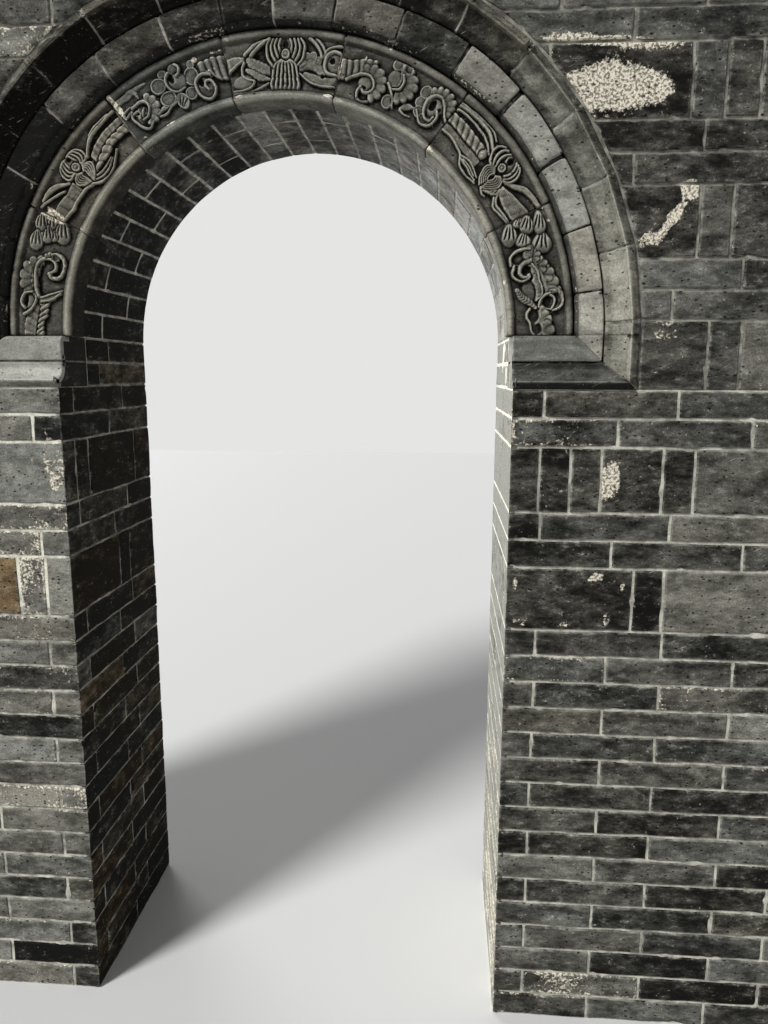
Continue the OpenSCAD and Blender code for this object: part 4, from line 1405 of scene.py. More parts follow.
def petals_right(r):
    """Right springing: petals, a scalloped plume with a hooked end, a rolled scroll and a combed leaf."""
    r.petals((205, 1028, 100, 62, -20, -26), (306, 932, 62, 62, -16, -30), (132, 915, 44, 52, -10, -34),
             (180, 862, 76, 58, -24, -34), (380, 792, 86, 80, -12, -24), (210, 762, 92, 52, -14, -26))
    r.band([(395, 880), (450, 842), (520, 812), (590, 794), (660, 768), (775, 740), (852, 725)],
           [(395, 945), (470, 928), (545, 905), (640, 884), (730, 862), (800, 852), (852, 848)], 8)
    for x, y, size in ((842, 798, 84), (762, 832, 102), (668, 850, 92), (580, 878, 84), (480, 908, 74)):
        r.shell(x, y, 4, size * 1.3, 24, 170, 3, 12, deep=.5)
    r.lobe(925, 812, 84, 88, 7, rim=5.5, thin=.30)
    r.roll([(836, 790), (838, 738), (880, 712), (942, 706), (990, 738), (1012, 800)], 5.4, 12.5, tip=.3,
           pitch=11)
    r.roll([(868, 806), (905, 778), (955, 782), (1000, 812)], 2.6, 11, tip=.6)
    r.roll([(848, 800), (862, 858), (905, 895), (965, 908)], 2.8, 11, tip=.8)
    r.pit(925, 838, 52, 36, 8)
    r.lobe(1115, 900, 140, 50, 5)
    for x, y, size in ((1018, 915, 66), (1092, 905, 94), (1192, 892, 106)):
        r.shell(x, y, 4, size * 1.25, 12, 168, 3, 12, deep=.5)
    r.pit(1052, 945, 62, 36, 7)
    r.pit(1176, 922, 56, 34, 7)
    r.roll([(978, 990), (1018, 1014), (1066, 1020), (1112, 996), (1172, 986), (1228, 962), (1255, 936)], 2.6,
           9.5)
    r.band([(540, 918), (620, 886), (700, 880), (790, 864), (858, 878), (898, 925)],
           [(540, 960), (640, 940), (700, 948), (800, 938), (860, 935), (898, 945)], 8.5, dots=True,
           round_off=4)
    r.roll([(545, 918), (620, 888), (700, 884), (790, 866), (860, 882), (898, 930)], 2.8, 11.5)
    r.lobe(800, 985, 110, 62, 3.5)
    r.leaf([(772, 1082), (845, 1050), (910, 992), (968, 940)], 9, 8, ribs=7, tip=.5)
    r.lobe(455, 1005, 78, 86, 8.5, rim=6.5, thin=.24)
    r.leaf([(408, 905), (450, 930), (520, 930)], 12, 9, dots=True, root=.9)
    r.roll([(405, 900), (385, 965), (390, 1030), (428, 1080), (505, 1096)], 3.4, 11.5, tip=.8)
    r.roll([(510, 925), (518, 978), (550, 1018), (600, 1034), (648, 1012), (662, 978), (636, 958)], 4.8, 12,
           tip=.7, dots=True)
    r.roll([(520, 1070), (590, 1096), (646, 1084), (684, 1040), (682, 985), (655, 950)], 3.0, 11.5, tip=.7)
    r.pit(592, 962, 50, 36)
    r.pit(660, 940, 36, 12, 6)
    r.smear((90, 690, 18, 14, .9), (222, 682, 16, 10, .9), (660, 1178, 30, 14, .8), (90, 1165, 14, 12, .3))


DRAWINGS = (petals_left, bow_left, clouds_left, key_block, clouds_right, bow_block, petals_right)
SHEETS = ((90, 1288, 703, 1115), (130, 1308, 712, 1118), (153, 1311, 737, 1140), (160, 1263, 737, 1130),
          (105, 1261, 717, 1125), (103, 1248, 692, 1118), (90, 1248, 692, 1120))


# Cornice, coping and ridge
CORNICE = ("cornice_lower", "cornice_middle", "cornice_upper")
CORNICE_TRIM = .002


def cornice():
    """Three stepped courses of plain bricks on both faces and round the ends."""
    heaps = {}
    for number, node in enumerate(CORNICE):
        heap = Heap()
        low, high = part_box(node)
        yard = Yard(70 + number, tone=.55, warmth=.2)
        for place, start, stop in four_sides(low, high):
            spans = fill_row(start, stop, "cs" if number % 2 else "qs")
            for index, (near, far) in enumerate(spans):
                lay_brick(heap, place, (near, low[2] + CORNICE_TRIM), (far, high[2] - CORNICE_TRIM),
                          yard.brick(), turned_ends(index, len(spans)), skirt=.04, step=.025)
        heaps[node] = heap
    return heaps


TILE_ROWS = 13
COVERS_UP = 3
PANS_UP = 6
COVER_RADIUS = .056
COVER_BED = .004
PAN_MARGIN = .045
PAN_DISH = .026
DRIP = .030
CAP_ARRIS = .009
TILE_BED = .040
TILES_LOW, TILES_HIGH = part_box("front_tiles")
TILE_PITCH = (TILES_HIGH[0] - TILES_LOW[0]) / TILE_ROWS
RIDGE_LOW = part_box("ridge_band")[0]
CORNICE_LOW, CORNICE_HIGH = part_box("cornice_upper")
SLOPE_RISE, SLOPE_RUN = RIDGE_LOW[2] - CORNICE_HIGH[2], RIDGE_LOW[1] - CORNICE_LOW[1]
SLOPE_ANGLE = math.atan2(SLOPE_RISE, SLOPE_RUN)
EAVE_OVERHANG = .040
SLOPE_LENGTH = math.hypot(SLOPE_RISE, SLOPE_RUN) + EAVE_OVERHANG


def on_slope(sign):
    """Lays things out on one slope: along the wall, up the slope from the eave, and out of it."""
    rise, run = math.sin(SLOPE_ANGLE), math.cos(SLOPE_ANGLE)
    eave_y = abs(CORNICE_LOW[1]) + EAVE_OVERHANG * run
    eave_z = CORNICE_HIGH[2] - EAVE_OVERHANG * rise

    def place(u, v, out):
        return np.stack([u, sign * (eave_y - v * run + out * rise), eave_z + v * rise + out * run], axis=-1)
    return place


def tile_sheet(heap, place, x, out, v, look, flip):
    """A shaped tile: the lines x and out across it, carried up the slope along v, grimy at its lower end."""
    s, k = np.meshgrid(np.arange(len(v)), np.arange(len(x[0])), indexing="ij")
    points = place(x[s, k], v[s], out[s, k])
    points = points + .0008 * np.stack([noise(points, .05, seed) for seed in (61, 62, 63)], axis=-1)
    colour = plain_look(s.size, look)
    colour[:, 3] = (1 - np.clip((v[s] - v[0]) / .02, 0, 1)).ravel()
    heap.add(points.reshape(-1, 3), grid_quads(*s.shape, flip), colour)


def cover_end(heap, sign, place, middle, look):
    """The round end of a row of cover tiles at the eave, with a raised rim."""
    rings = np.array([1.0, .97, .90, .84, .78, .5, .2, .01])
    proud = np.array([-.002, -.005, -.006, -.003, -.001, -.004, -.007, -.008])
    full = np.linspace(0, 2 * math.pi, 29)
    x = middle + COVER_RADIUS * .97 * rings[:, None] * np.cos(full)[None, :]
    out = TILE_BED - COVER_BED + COVER_RADIUS * .97 * rings[:, None] * np.sin(full)[None, :]
    points = place(x, np.broadcast_to((proud + .008)[:, None], x.shape), np.maximum(out, -.012))
    heap.add(points.reshape(-1, 3), grid_quads(*x.shape, sign < 0), plain_look(x.size, look))


def cover_tiles(heap, sign, yard):
    """Rows of half-round cover tiles, each slipped under the one above, with round ends at the eave."""
    place = on_slope(sign)
    turn = np.linspace(0, math.pi, 15)
    tile = SLOPE_LENGTH / COVERS_UP
    for row in range(TILE_ROWS):
        middle = TILES_LOW[0] + TILE_PITCH * (row + .5)
        for step in range(COVERS_UP):
            start = step * tile
            v = np.array([start, start, start + .003, start + .03, start + tile * .7, start + tile + .01])
            wide = COVER_RADIUS * np.array([.80, .97, 1.0, .99, .96, .93])
            x = middle + wide[:, None] * np.cos(turn)[None, :]
            out = TILE_BED + wide[:, None] * np.sin(turn)[None, :] - COVER_BED
            tile_sheet(heap, place, x, out, v, yard.brick(), sign > 0)
        cover_end(heap, sign, place, middle, yard.brick())


def pan_tiles(heap, sign, yard):
    """Troughs of overlapping pan tiles between the covers, with a drip lip at the eave."""
    place = on_slope(sign)
    rise = SLOPE_LENGTH / PANS_UP
    half = TILE_PITCH / 2 - PAN_MARGIN
    for row in range(TILE_ROWS + 1):
        middle = TILES_LOW[0] + TILE_PITCH * row
        lines = np.linspace(max(middle - half, TILES_LOW[0]), min(middle + half, TILES_HIGH[0]), 9)
        dish = PAN_DISH * ((lines - middle) / half) ** 2
        for step in range(PANS_UP):
            start = step * rise
            v = np.array([start, start, start + .003, start + rise * .5, start + rise + .012])
            lift = np.array([.006, .014, .016, .012, .006])
            x = np.broadcast_to(lines, (len(v), len(lines)))
            tile_sheet(heap, place, x, .004 + lift[:, None] + dish[None, :], v, yard.brick(), sign > 0)
        hang = np.linspace(0, 1, 6)
        x = np.broadcast_to(lines, (len(hang), len(lines)))
        drop = DRIP * (1 - .8 * dish / PAN_DISH)
        out = .018 + dish[None, :] - drop[None, :] * hang[:, None]
        tile_sheet(heap, place, x, out, .002 + 0 * hang, yard.brick(), sign < 0)


def ridge_courses(node, courses, length, arris, yard):
    """Courses of long rounded bricks on the four sides of one ridge solid, and where the last one is cut."""
    heap = Heap()
    bottom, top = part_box(node)
    levels = np.linspace(bottom[2], top[2], courses + 1)
    for index, (a, b) in enumerate(zip(levels[:-1], levels[1:])):
        cuts = np.arange(bottom[0] + (length / 2 if index % 2 else length), top[0] - .05, length)
        cuts = np.concatenate([[bottom[0]], cuts, [top[0]]])
        faces = four_sides(bottom, top)
        for place, _, _ in faces[:2]:
            for number, (start, stop) in enumerate(zip(cuts[:-1], cuts[1:])):
                lay_brick(heap, place, (start, a), (stop - .002, b), yard.brick(),
                          turned_ends(number, len(cuts) - 1), step=COARSE, arris=arris, skirt=.03)
        for place, start, stop in faces[2:]:
            lay_brick(heap, place, (start, a), (stop, b), yard.brick(), "lr", step=COARSE, arris=arris,
                      skirt=.03)
    return heap, cuts


def ridge():
    """The tall plain ridge band in three skimmed courses, and its cap of rounded bricks."""
    yard = Yard(91, tone=.6, spread=.08)
    band, _ = ridge_courses("ridge_band", 3, .42, .003, yard)
    cap, cuts = ridge_courses("ridge_cap", 1, .28, CAP_ARRIS, yard)
    bottom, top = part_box("ridge_cap")
    for start, stop in zip(cuts[:-1], cuts[1:]):
        lay_brick(cap, facing(2, top[2], 1), (start, bottom[1]), (stop - .002, top[1]), yard.brick(), "tb",
                  step=COARSE, arris=CAP_ARRIS, skirt=.02)
    return band, cap


# Materials
SPECULAR = .08


def add_node(tree, kind, inputs=None, **settings):
    """A node with its settings, and its inputs set to values or joined to other nodes' outputs."""
    node = tree.nodes.new(kind)
    for key, value in settings.items():
        setattr(node, key, value)
    for key, value in (inputs or {}).items():
        if isinstance(value, bpy.types.NodeSocket):
            tree.links.new(value, node.inputs[key])
        else:
            node.inputs[key].default_value = value
    return node


def calculate(tree, operation, first, second=0.0, third=0.0, clamp=False):
    """A sum, product or other operation on values."""
    values = {0: first, 1: second, 2: third}
    return add_node(tree, "ShaderNodeMath", values, operation=operation, use_clamp=clamp).outputs[0]


def multiply(tree, first, second):
    """The product of two values."""
    return calculate(tree, "MULTIPLY", first, second)


def add(tree, first, second, clamp=False):
    """The sum of two values."""
    return calculate(tree, "ADD", first, second, clamp=clamp)


def ranged(tree, value, low, high, out_low=0.0, out_high=1.0):
    """A smooth step from out_low to out_high as the value goes from low to high."""
    inputs = {"Value": value, "From Min": low, "From Max": high, "To Min": out_low, "To Max": out_high}
    return add_node(tree, "ShaderNodeMapRange", inputs, interpolation_type="SMOOTHSTEP").outputs[0]


def blend_colour(tree, share, first, second, way="MIX"):
    """Two colours mixed by a share."""
    values = {0: share, 6: first, 7: second}
    return add_node(tree, "ShaderNodeMix", values, data_type="RGBA", blend_type=way).outputs[2]


def noise_node(tree, scale, detail=4.0, rough=.6, vector=None):
    """Noise in the object's own space."""
    vector = vector or add_node(tree, "ShaderNodeTexCoord").outputs["Object"]
    inputs = {"Vector": vector, "Scale": scale, "Detail": detail, "Roughness": rough}
    return add_node(tree, "ShaderNodeTexNoise", inputs).outputs["Fac"]


def stretched(tree, vector, factors):
    """A place with each axis multiplied by its factor, so that noise there is drawn out."""
    return add_node(tree, "ShaderNodeVectorMath", {0: vector, 1: factors}, operation="MULTIPLY").outputs[0]


def new_group(name, ins, outs):
    """An empty node group with named inputs, each with its usual value, and named outputs."""
    tree = bpy.data.node_groups.new(name, "ShaderNodeTree")
    for label, default in ins:
        socket = tree.interface.new_socket(label, in_out="INPUT", socket_type="NodeSocketFloat")
        socket.default_value = default
    for label in outs:
        tree.interface.new_socket(label, in_out="OUTPUT", socket_type="NodeSocketFloat")
    return tree, tree.nodes.new("NodeGroupInput"), tree.nodes.new("NodeGroupOutput")


CLAY_OUTPUTS = ("Stain", "Scuff", "Grain", "Specks", "Scratches", "Pits", "Height")


def old_clay_group():
    """Stains, scuffs, grain, specks, scratches and pits of old hand-made brick."""
    tree, start, end = new_group("Old clay", (("Pit share", .5), ("Pit size", 1.0)), CLAY_OUTPUTS)
    place = add_node(tree, "ShaderNodeTexCoord").outputs["Object"]
    streaky = stretched(tree, place, (1.0, 1.0, 2.1))
    stain = noise_node(tree, 9, 6, .62, streaky)
    scuff = noise_node(tree, 26, 9, .78, streaky)
    grain = noise_node(tree, 260, 4, .7, place)
    dots = noise_node(tree, 150, 2, .6, place)
    specks = multiply(tree, ranged(tree, dots, .66, .72), ranged(tree, scuff, .44, .60))
    slanted = add_node(tree, "ShaderNodeVectorRotate", {"Vector": place, "Angle": .45},
                       rotation_type="Y_AXIS")
    drawn = stretched(tree, slanted.outputs[0], (26.0, 60.0, 420.0))
    scratches = multiply(tree, ranged(tree, noise_node(tree, 1, 2, .5, drawn), .68, .74),
                          ranged(tree, stain, .46, .58))
    size = calculate(tree, "DIVIDE", 72.0, start.outputs["Pit size"])
    bent = stretched(tree, place, (1.0, 1.0, 1.7))
    cells = add_node(tree, "ShaderNodeTexVoronoi", {"Vector": bent, "Scale": size}, feature="F1")
    chosen = add_node(tree, "ShaderNodeSeparateColor", {"Color": cells.outputs["Color"]})
    limit = multiply(tree, start.outputs["Pit share"], .5)
    present = calculate(tree, "LESS_THAN", chosen.outputs[0], limit)
    reach = multiply(tree, chosen.outputs[1], .36)
    depth = calculate(tree, "SUBTRACT", reach, cells.outputs["Distance"])
    pits = multiply(tree, ranged(tree, depth, .0, .10), present)
    height = add(tree, multiply(tree, grain, .45), multiply(tree, scuff, 1.5))
    height = add(tree, height, multiply(tree, specks, .3))
    height = calculate(tree, "SUBTRACT", height, multiply(tree, pits, 1.8))
    for label, value in zip(CLAY_OUTPUTS, (stain, scuff, grain, specks, scratches, pits, height)):
        tree.links.new(value, end.inputs[label])
    return tree


def lime_group():
    """Where old lime still clings: broken patches that grow with the amount."""
    tree, start, end = new_group("Clinging lime", (("Amount", .2), ("Edge", 0.0)), ("Mask",))
    place = add_node(tree, "ShaderNodeTexCoord").outputs["Object"]
    wide = multiply(tree, noise_node(tree, 9, 6, .7, place), .5)
    fine = multiply(tree, noise_node(tree, 120, 4, .7, place), .5)
    field = add(tree, wide, fine)
    edge = multiply(tree, start.outputs["Edge"], .09)
    limit = calculate(tree, "MULTIPLY_ADD", start.outputs["Amount"], -.36, .72)
    over = calculate(tree, "SUBTRACT", field, calculate(tree, "SUBTRACT", limit, edge))
    tree.links.new(ranged(tree, over, 0.0, .05), end.inputs["Mask"])
    return tree


OLD_CLAY = old_clay_group()
CLINGING_LIME = lime_group()


def grey(value, warm=0.0):
    """A grey that leans to olive above zero and to blue below."""
    return (value * (.97 + .03 * warm), value, value * (1 - .15 * warm), 1)


def times_grey(tree, colour, value):
    """A colour multiplied by a varying grey."""
    tint = add_node(tree, "ShaderNodeCombineColor", {0: value, 1: value, 2: value}).outputs[0]
    return blend_colour(tree, 1.0, colour, tint, "MULTIPLY")


def begin_material(name):
    """An empty node material, and the tone, warmth and lime, and the fourth value, for worn edges, grime and
    painted shade, of the mesh's points.
    """
    material = bpy.data.materials.new(name)
    material.use_nodes = True
    tree = material.node_tree
    tree.nodes.clear()
    look = add_node(tree, "ShaderNodeAttribute", attribute_name="look")
    parts = add_node(tree, "ShaderNodeSeparateColor", {"Color": look.outputs["Color"]})
    return material, tree, parts.outputs, look.outputs["Alpha"]


def finish_surface(tree, colour, dull, height, strength, depth):
    """A matt surface of this colour and roughness, with its relief."""
    relief = add_node(tree, "ShaderNodeBump", {"Strength": strength, "Distance": depth, "Height": height})
    shader = add_node(tree, "ShaderNodeBsdfPrincipled", {"Base Color": colour, "Roughness": dull,
                                                         "Normal": relief.outputs["Normal"]})
    shader.inputs["Specular IOR Level"].default_value = SPECULAR
    output = add_node(tree, "ShaderNodeOutputMaterial")
    tree.links.new(shader.outputs[0], output.inputs["Surface"])


def masonry(name, dark, light, lime=1.0, lime_colour=(.76, .70, .57, 1), pits=.5, pit_size=1.0, bump=.8,
            worn=(.20, .20, .185, 1), hollow=None, roughness=.9, contrast=1.0, creep=(.34, .32, .27, 1)):
    """Fired grey brick: each brick's tone and warmth, stains, scuffs, pits, clinging lime, and worn edges,
    or painted shade with some soot where a hollow colour is given.
    """
    material, tree, parts, edge = begin_material(name)
    clay = add_node(tree, "ShaderNodeGroup", node_tree=OLD_CLAY)
    clay.inputs["Pit share"].default_value = pits
    clay.inputs["Pit size"].default_value = pit_size
    stain, scuff, grain, specks, scratches, holes, rise = (clay.outputs[label] for label in CLAY_OUTPUTS)
    tone = add(tree, parts[0], ranged(tree, stain, .25, .75, -.24 * contrast, .24 * contrast))
    tone = add(tree, tone, ranged(tree, scuff, .3, .7, -.20 * contrast, .20 * contrast), clamp=True)
    colour = blend_colour(tree, calculate(tree, "POWER", tone, 1.9), dark, light)
    warmed = blend_colour(tree, parts[1], (1, 1, 1, 1), (1.6, 1.02, .5, 1))
    colour = blend_colour(tree, 1.0, colour, warmed, "MULTIPLY")
    colour = times_grey(tree, colour, ranged(tree, grain, .25, .75, 1 - .44 * contrast, 1 + .44 * contrast))
    shown = ranged(tree, tone, 0, .6, .05, .62 * contrast)
    pale = multiply(tree, ranged(tree, scuff, .56, .66), shown)
    colour = blend_colour(tree, pale, colour, worn)
    patches = add_node(tree, "ShaderNodeGroup", node_tree=CLINGING_LIME)
    tree.links.new(multiply(tree, parts[2], lime), patches.inputs["Amount"])
    if hollow is None:
        rubbed = multiply(tree, ranged(tree, edge, .40, .95), ranged(tree, scuff, .38, .55, .1, 1))
        colour = blend_colour(tree, multiply(tree, rubbed, shown), colour, worn)
        reach = add(tree, edge, ranged(tree, scuff, .3, .7, -.5, .5))
        colour = blend_colour(tree, ranged(tree, reach, 1.08, 1.22, 0, .7), colour, creep)
        tree.links.new(edge, patches.inputs["Edge"])
    else:
        # Painted shade, with some soot: the fourth value blends towards the hollow colour
        colour = blend_colour(tree, edge, colour, hollow)
    marks = add(tree, multiply(tree, specks, .5 * contrast),
                      multiply(tree, scratches, .4 * contrast), clamp=True)
    colour = blend_colour(tree, marks, colour, lime_colour)
    crumbs = ranged(tree, noise_node(tree, 170, 2, .5), .40, .52)
    crumbly = multiply(tree, ranged(tree, grain, .3, .7, .7, 1.15), ranged(tree, crumbs, 0, 1, .40, 1.12))
    mask = patches.outputs["Mask"]
    crust = times_grey(tree, lime_colour, crumbly)
    colour = blend_colour(tree, multiply(tree, mask, .92), colour, crust)
    colour = blend_colour(tree, multiply(tree, holes, .85), colour, (.006, .006, .005, 1))
    lump = multiply(tree, mask, add(tree, crumbs, .5))
    dull = ranged(tree, grain, .2, .8, roughness - .06, min(roughness + .05, 1))
    finish_surface(tree, colour, dull, add(tree, rise, lump), bump, .0024)
    return material


def mortar_material(name, base, dirt, bump=.8):
    """Sandy lime mortar, stained, with grit."""
    material, tree, parts, _ = begin_material(name)
    stain = ranged(tree, noise_node(tree, 11, 5, .65), .35, .65)
    clean = add(tree, multiply(tree, parts[2], .9),
                      ranged(tree, noise_node(tree, 30, 4), .3, .7, -.5, .4), clamp=True)
    colour = blend_colour(tree, clean, dirt, base)
    colour = blend_colour(tree, multiply(tree, stain, .35), colour, dirt)
    colour = times_grey(tree, colour, add(tree, parts[0], .5))
    grit = noise_node(tree, 420, 3, .7)
    colour = times_grey(tree, colour, ranged(tree, grit, .3, .7, .8, 1.15))
    height = add(tree, grit, multiply(tree, noise_node(tree, 70, 4), 1.5))
    finish_surface(tree, colour, ranged(tree, grit, .2, .8, .88, .98), height, bump, .0018)
    return material


WALL_BRICK = masonry("wall brick", grey(.0055, .8), grey(.26, .8), worn=grey(.25, .7), pits=.75,
                     pit_size=1.1)
VAULT_BRICK = masonry("vault brick", grey(.006, .5), grey(.42, .5), .6, worn=grey(.30, .5))
# On the carved blocks the fourth value darkens towards the hollow colour: painted shade, with some soot, in
# hollows, at bead feet and in the groove
CARVED_BRICK = masonry("carved brick", grey(.015, .9), grey(.34, .9), pits=.2, bump=.45, contrast=.6,
                       worn=grey(.26, .8), hollow=(.0045, .0042, .0034, 1))
# The moulded brick's dark creep follows the fourth value: dark block ends at the joints, and painted shade,
# partly grime, along the groove
RING_BRICK = masonry("moulded brick", grey(.006, .9), grey(.42, .75), .5, pits=.8, pit_size=1.0, bump=.5,
                     contrast=.7, worn=grey(.34, .8), creep=grey(.02, .8))
OUTER_BRICK = masonry("outer moulded brick", grey(.006, 1.0), grey(.36, 1.0), .6, pits=.8, pit_size=1.0,
                      bump=.5, contrast=.8, worn=grey(.30, 1.0), creep=grey(.32, 1.0))
IMPOST_BRICK = masonry("impost brick", grey(.015, .6), grey(.44, .7), .3, pits=.9, pit_size=.6, bump=.5,
                       contrast=.6, worn=grey(.34, .3))
CORNICE_BRICK = masonry("cornice brick", grey(.012, .8), grey(.32, .8))
ROOF_TILE = masonry("roof tile", grey(.010, -.3), grey(.18, -.2), .6, (.40, .37, .22, 1), pits=.2, bump=.5)
RIDGE_BRICK = masonry("ridge render", grey(.05, .5), grey(.44, .6), .9, (.60, .59, .56, 1), pits=.4)
MORTAR = mortar_material("bedding mortar", (.54, .525, .445, 1), (.10, .097, .083, 1))
JOINT_MORTAR = mortar_material("ring joints", (.44, .42, .36, 1), (.016, .014, .012, 1))


# Putting the pieces together
def set_piece(heap, name, material, slot, *nodes):
    """Makes a heap into a piece that rides on the gateway and stands for its solids."""
    piece = heap.make(name, material)
    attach(piece, "root")
    if nodes:
        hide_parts(*nodes)
    return piece


def build_walls():
    """The bricks of both faces, the reveals and the ends, and the mortar behind them."""
    front_rows()
    back_rows()
    reveal_rows()
    end_rows()
    mortar_faces()
    for node in WALL_NODES:
        set_piece(bricks[node], node + "_bricks", WALL_BRICK, "wall_brick", node)
        set_piece(beds[node], node + "_mortar", MORTAR, "mortar")


def build_vault():
    """The vault behind the carved band, with its end on the back face."""
    yard = Yard(61, tone=0, spread=.10)
    heap, bed = vault(yard)
    vault_end(heap, bed, yard)
    set_piece(heap, "vault_bricks", VAULT_BRICK, "arch_brick", "barrel_vault")
    set_piece(bed, "vault_mortar", MORTAR, "mortar")


def build_ring(name, section, joints, tones, yard, shade, reach, material, sag=0.0):
    """One moulded ring in its three parts."""
    heaps = ring_blocks(section, joints, tones, yard, shade, sag)
    ring_feet(heaps, section, yard, reach, joints, tones, shade)
    for part, heap in heaps.items():
        set_piece(heap, name + "_" + part + "_blocks", material, "moulded_brick", name + "_" + part)


def ring_mortar(bed, section, lime, joints):
    """The joints of one ring and its imposts, just below the blocks, and the seam between the imposts."""
    normals = section_normals(section)
    unworn = {"ends": (False, False)}
    for angle, _, pale in joints:
        near = section - normals * (.0042 - .0030 * pale)
        stations = np.radians(np.linspace(angle - JOINT_REACH, angle + JOINT_REACH, 5))
        sweep(bed, round_arch(), near, stations, (.5, 0, pale), flip=True, **unworn)
    sweep(bed, round_arch(), section - normals * .006, np.linspace(0, math.pi, 160), (.5, 0, 0), flip=True,
          rough=.5, **unworn)
    sunk = section - normals * .003
    seam = np.array([[INNER_RING - .004, SEAM_DEPTH], [INNER_RING, SEAM_DEPTH],
                    [INNER_RING + .004, SEAM_DEPTH]])
    for sign, _ in SIDES:
        sweep(bed, level_run(sign), seam, np.linspace(0, 1, 12), (.5, 0, .5 - .5 * sign), length=.2,
              flip=sign < 0, rough=.3, **unworn)
        sweep(bed, down_leg(sign), sunk, np.linspace(0, 1, 6), (.5, 0, lime), length=.1, flip=sign > 0,
              rough=.5, **unworn)
        sweep(bed, level_run(sign), sunk, np.linspace(.02, 1, 12), (.5, 0, lime), length=.2, flip=sign < 0,
              rough=.5, **unworn)


def build_surround():
    """The moulded rings, their imposts and the joints behind them."""
    inner, outer = inner_section(), outer_section()
    build_ring("inner_ring", inner, INNER_JOINTS, INNER_TONES, Yard(5, 0, .04, .08), inner_shade(inner), .03,
               RING_BRICK)
    # The outer ring's slope, outward of the arris, is painted light
    build_ring("outer_ring", outer, OUTER_JOINTS, OUTER_TONES, Yard(6, 0, .04, .06, .15),
               outer_shade(outer, .45), .09, OUTER_BRICK, sag=.0035)
    for sign, side in SIDES:
        upper_tone, lower_tone, end_look = IMPOST_LOOKS[sign]
        upper = impost(sign, inner, (upper_tone, .02, .05), end_look)
        set_piece(upper, "upper_impost_" + side + "_block", IMPOST_BRICK, "impost_brick",
                  "upper_impost_" + side)
        # The lower imposts' slope faces down and is painted shade
        lower = impost(sign, outer, (lower_tone, .02, .05), end_look, outer_shade(outer, -.36))
        set_piece(lower, "lower_impost_" + side + "_block", IMPOST_BRICK, "impost_brick",
                  "lower_impost_" + side)
    bed = Heap()
    ring_mortar(bed, inner, .1, INNER_JOINTS)
    ring_mortar(bed, outer, .9, OUTER_JOINTS)
    set_piece(bed, "surround_joints", JOINT_MORTAR, "mortar")


def build_band():
    """The seven carved blocks and the joints between them."""
    yard = Yard(12, tone=.50, spread=.04, warmth=.05, lime=.1)
    for number in range(len(DRAWINGS)):
        heap = carved_block(number, yard)
        name = "carved_block_" + str(number + 1)
        set_piece(heap, name + "_relief", CARVED_BRICK, "carved_brick", name)
    bed = Heap()
    section = block_section()[:, :2]
    sunk = section - section_normals(section) * .0045
    sweep(bed, round_arch(), sunk[::3], np.linspace(0, math.pi, 120), (.5, 0, .45), ends=(False, False),
          flip=True)
    set_piece(bed, "carved_band_joints", JOINT_MORTAR, "mortar")


def build_coping():
    """Cornice, tiles and ridge, and a mortar finish for the core under the tiles."""
    for node, heap in cornice().items():
        set_piece(heap, node + "_bricks", CORNICE_BRICK, "cornice_brick", node)
    for sign, node in ((-1, "front_tiles"), (1, "back_tiles")):
        heap = Heap()
        yard = Yard(80 + sign, tone=.45, spread=.2, warmth=.04, lime=.25)
        cover_tiles(heap, sign, yard)
        pan_tiles(heap, sign, yard)
        set_piece(heap, node + "_laid", ROOF_TILE, "roof_tile", node)
    band, cap = ridge()
    set_piece(band, "ridge_band_courses", RIDGE_BRICK, "ridge_brick", "ridge_band")
    set_piece(cap, "ridge_cap_bricks", RIDGE_BRICK, "ridge_brick", "ridge_cap")
    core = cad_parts["coping_core"]
    core.data.materials.clear()
    core.data.materials.append(MORTAR)


# Stage: floor, light and camera
def stage():
    """A pale floor."""
    mesh = bpy.data.meshes.new("floor")
    reach = 14.0
    mesh.from_pydata([(-reach, -reach, 0), (reach, -reach, 0), (reach, reach, 0), (-reach, reach, 0)], [],
                     [(0, 1, 2, 3)])
    floor = bpy.data.objects.new("floor", mesh)
    bpy.context.scene.collection.objects.link(floor)
    paint = bpy.data.materials.new("floor paint")
    paint.use_nodes = True
    shader = paint.node_tree.nodes["Principled BSDF"]
    shader.inputs["Base Color"].default_value = (.60, .60, .59, 1)
    shader.inputs["Roughness"].default_value = .9
    mesh.materials.append(paint)


def soft_sun(name, direction, spread, power):
    """A broad distant lamp that shines along a direction."""
    lamp = bpy.data.lights.new(name, "SUN")
    lamp.angle = math.radians(spread)
    lamp.energy = power
    holder = bpy.data.objects.new(name, lamp)
    holder.rotation_euler = Vector(direction).to_track_quat("-Z", "Y").to_euler()
    bpy.context.scene.collection.objects.link(holder)


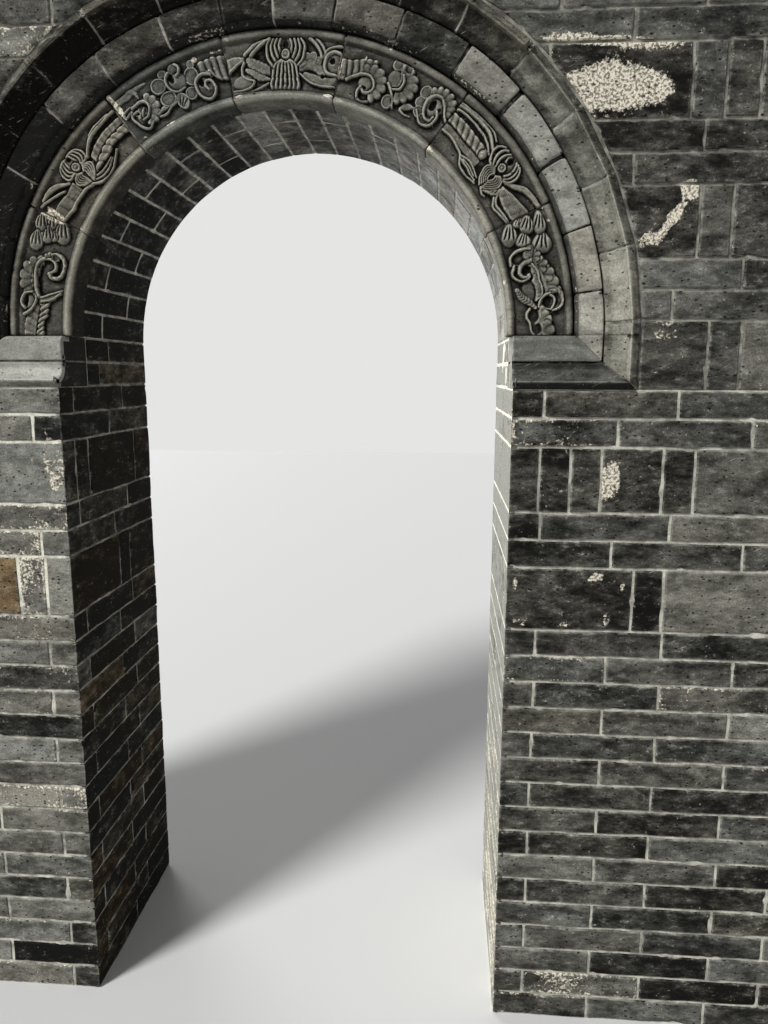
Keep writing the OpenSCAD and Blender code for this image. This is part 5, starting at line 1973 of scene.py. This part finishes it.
def light():
    """A lamp from the left in front, one from the courtyard behind, and a plain pale world."""
    soft_sun("key lamp", (.70, .80, -1.0), spread=14, power=3.55)
    soft_sun("courtyard lamp", (.75, -1.0, -.16), spread=30, power=3.7)
    world = bpy.data.worlds.new("pale sky")
    world.use_nodes = True
    tree = world.node_tree
    tree.nodes.clear()
    path = add_node(tree, "ShaderNodeLightPath")
    seen = calculate(tree, "MAXIMUM", path.outputs["Is Camera Ray"], path.outputs["Is Glossy Ray"])
    seen = calculate(tree, "MAXIMUM", seen, path.outputs["Is Transmission Ray"])
    plain = add_node(tree, "ShaderNodeBackground", {"Color": (.94, .96, 1, 1), "Strength": .22})
    shown = add_node(tree, "ShaderNodeBackground", {"Color": (.785, .79, .775, 1), "Strength": 1.0})
    mix = add_node(tree, "ShaderNodeMixShader", {0: seen, 1: plain.outputs[0], 2: shown.outputs[0]})
    output = add_node(tree, "ShaderNodeOutputWorld")
    tree.links.new(mix.outputs[0], output.inputs["Surface"])
    bpy.context.scene.world = world


CAMERA_AT = (.3624, -1.9954, 1.5974)
CAMERA_TURN = (4.2834, 10.0893, .2101)
LENS = 27.221


def camera():
    """The photograph's viewpoint, found from the imposts, the courses and the two reveals."""
    yaw, pitch, roll = map(math.radians, CAMERA_TURN)
    ahead = Vector((-math.sin(yaw) * math.cos(pitch), math.cos(yaw) * math.cos(pitch), -math.sin(pitch)))
    level = Vector((math.cos(yaw), math.sin(yaw), 0))
    upward = level.cross(ahead)
    right = level * math.cos(roll) + upward * math.sin(roll)
    above = upward * math.cos(roll) - level * math.sin(roll)
    lens = bpy.data.cameras.new("camera")
    lens.lens = LENS
    lens.sensor_width = 36
    lens.clip_start = .05
    holder = bpy.data.objects.new("camera", lens)
    turn = Matrix((right, above, -ahead)).transposed().to_4x4()
    holder.matrix_world = Matrix.Translation(CAMERA_AT) @ turn
    bpy.context.scene.collection.objects.link(holder)
    bpy.context.scene.camera = holder


bpy.context.scene.view_settings.view_transform = "Standard"
stage()
light()
camera()
build_walls()
build_vault()
build_surround()
build_band()
build_coping()
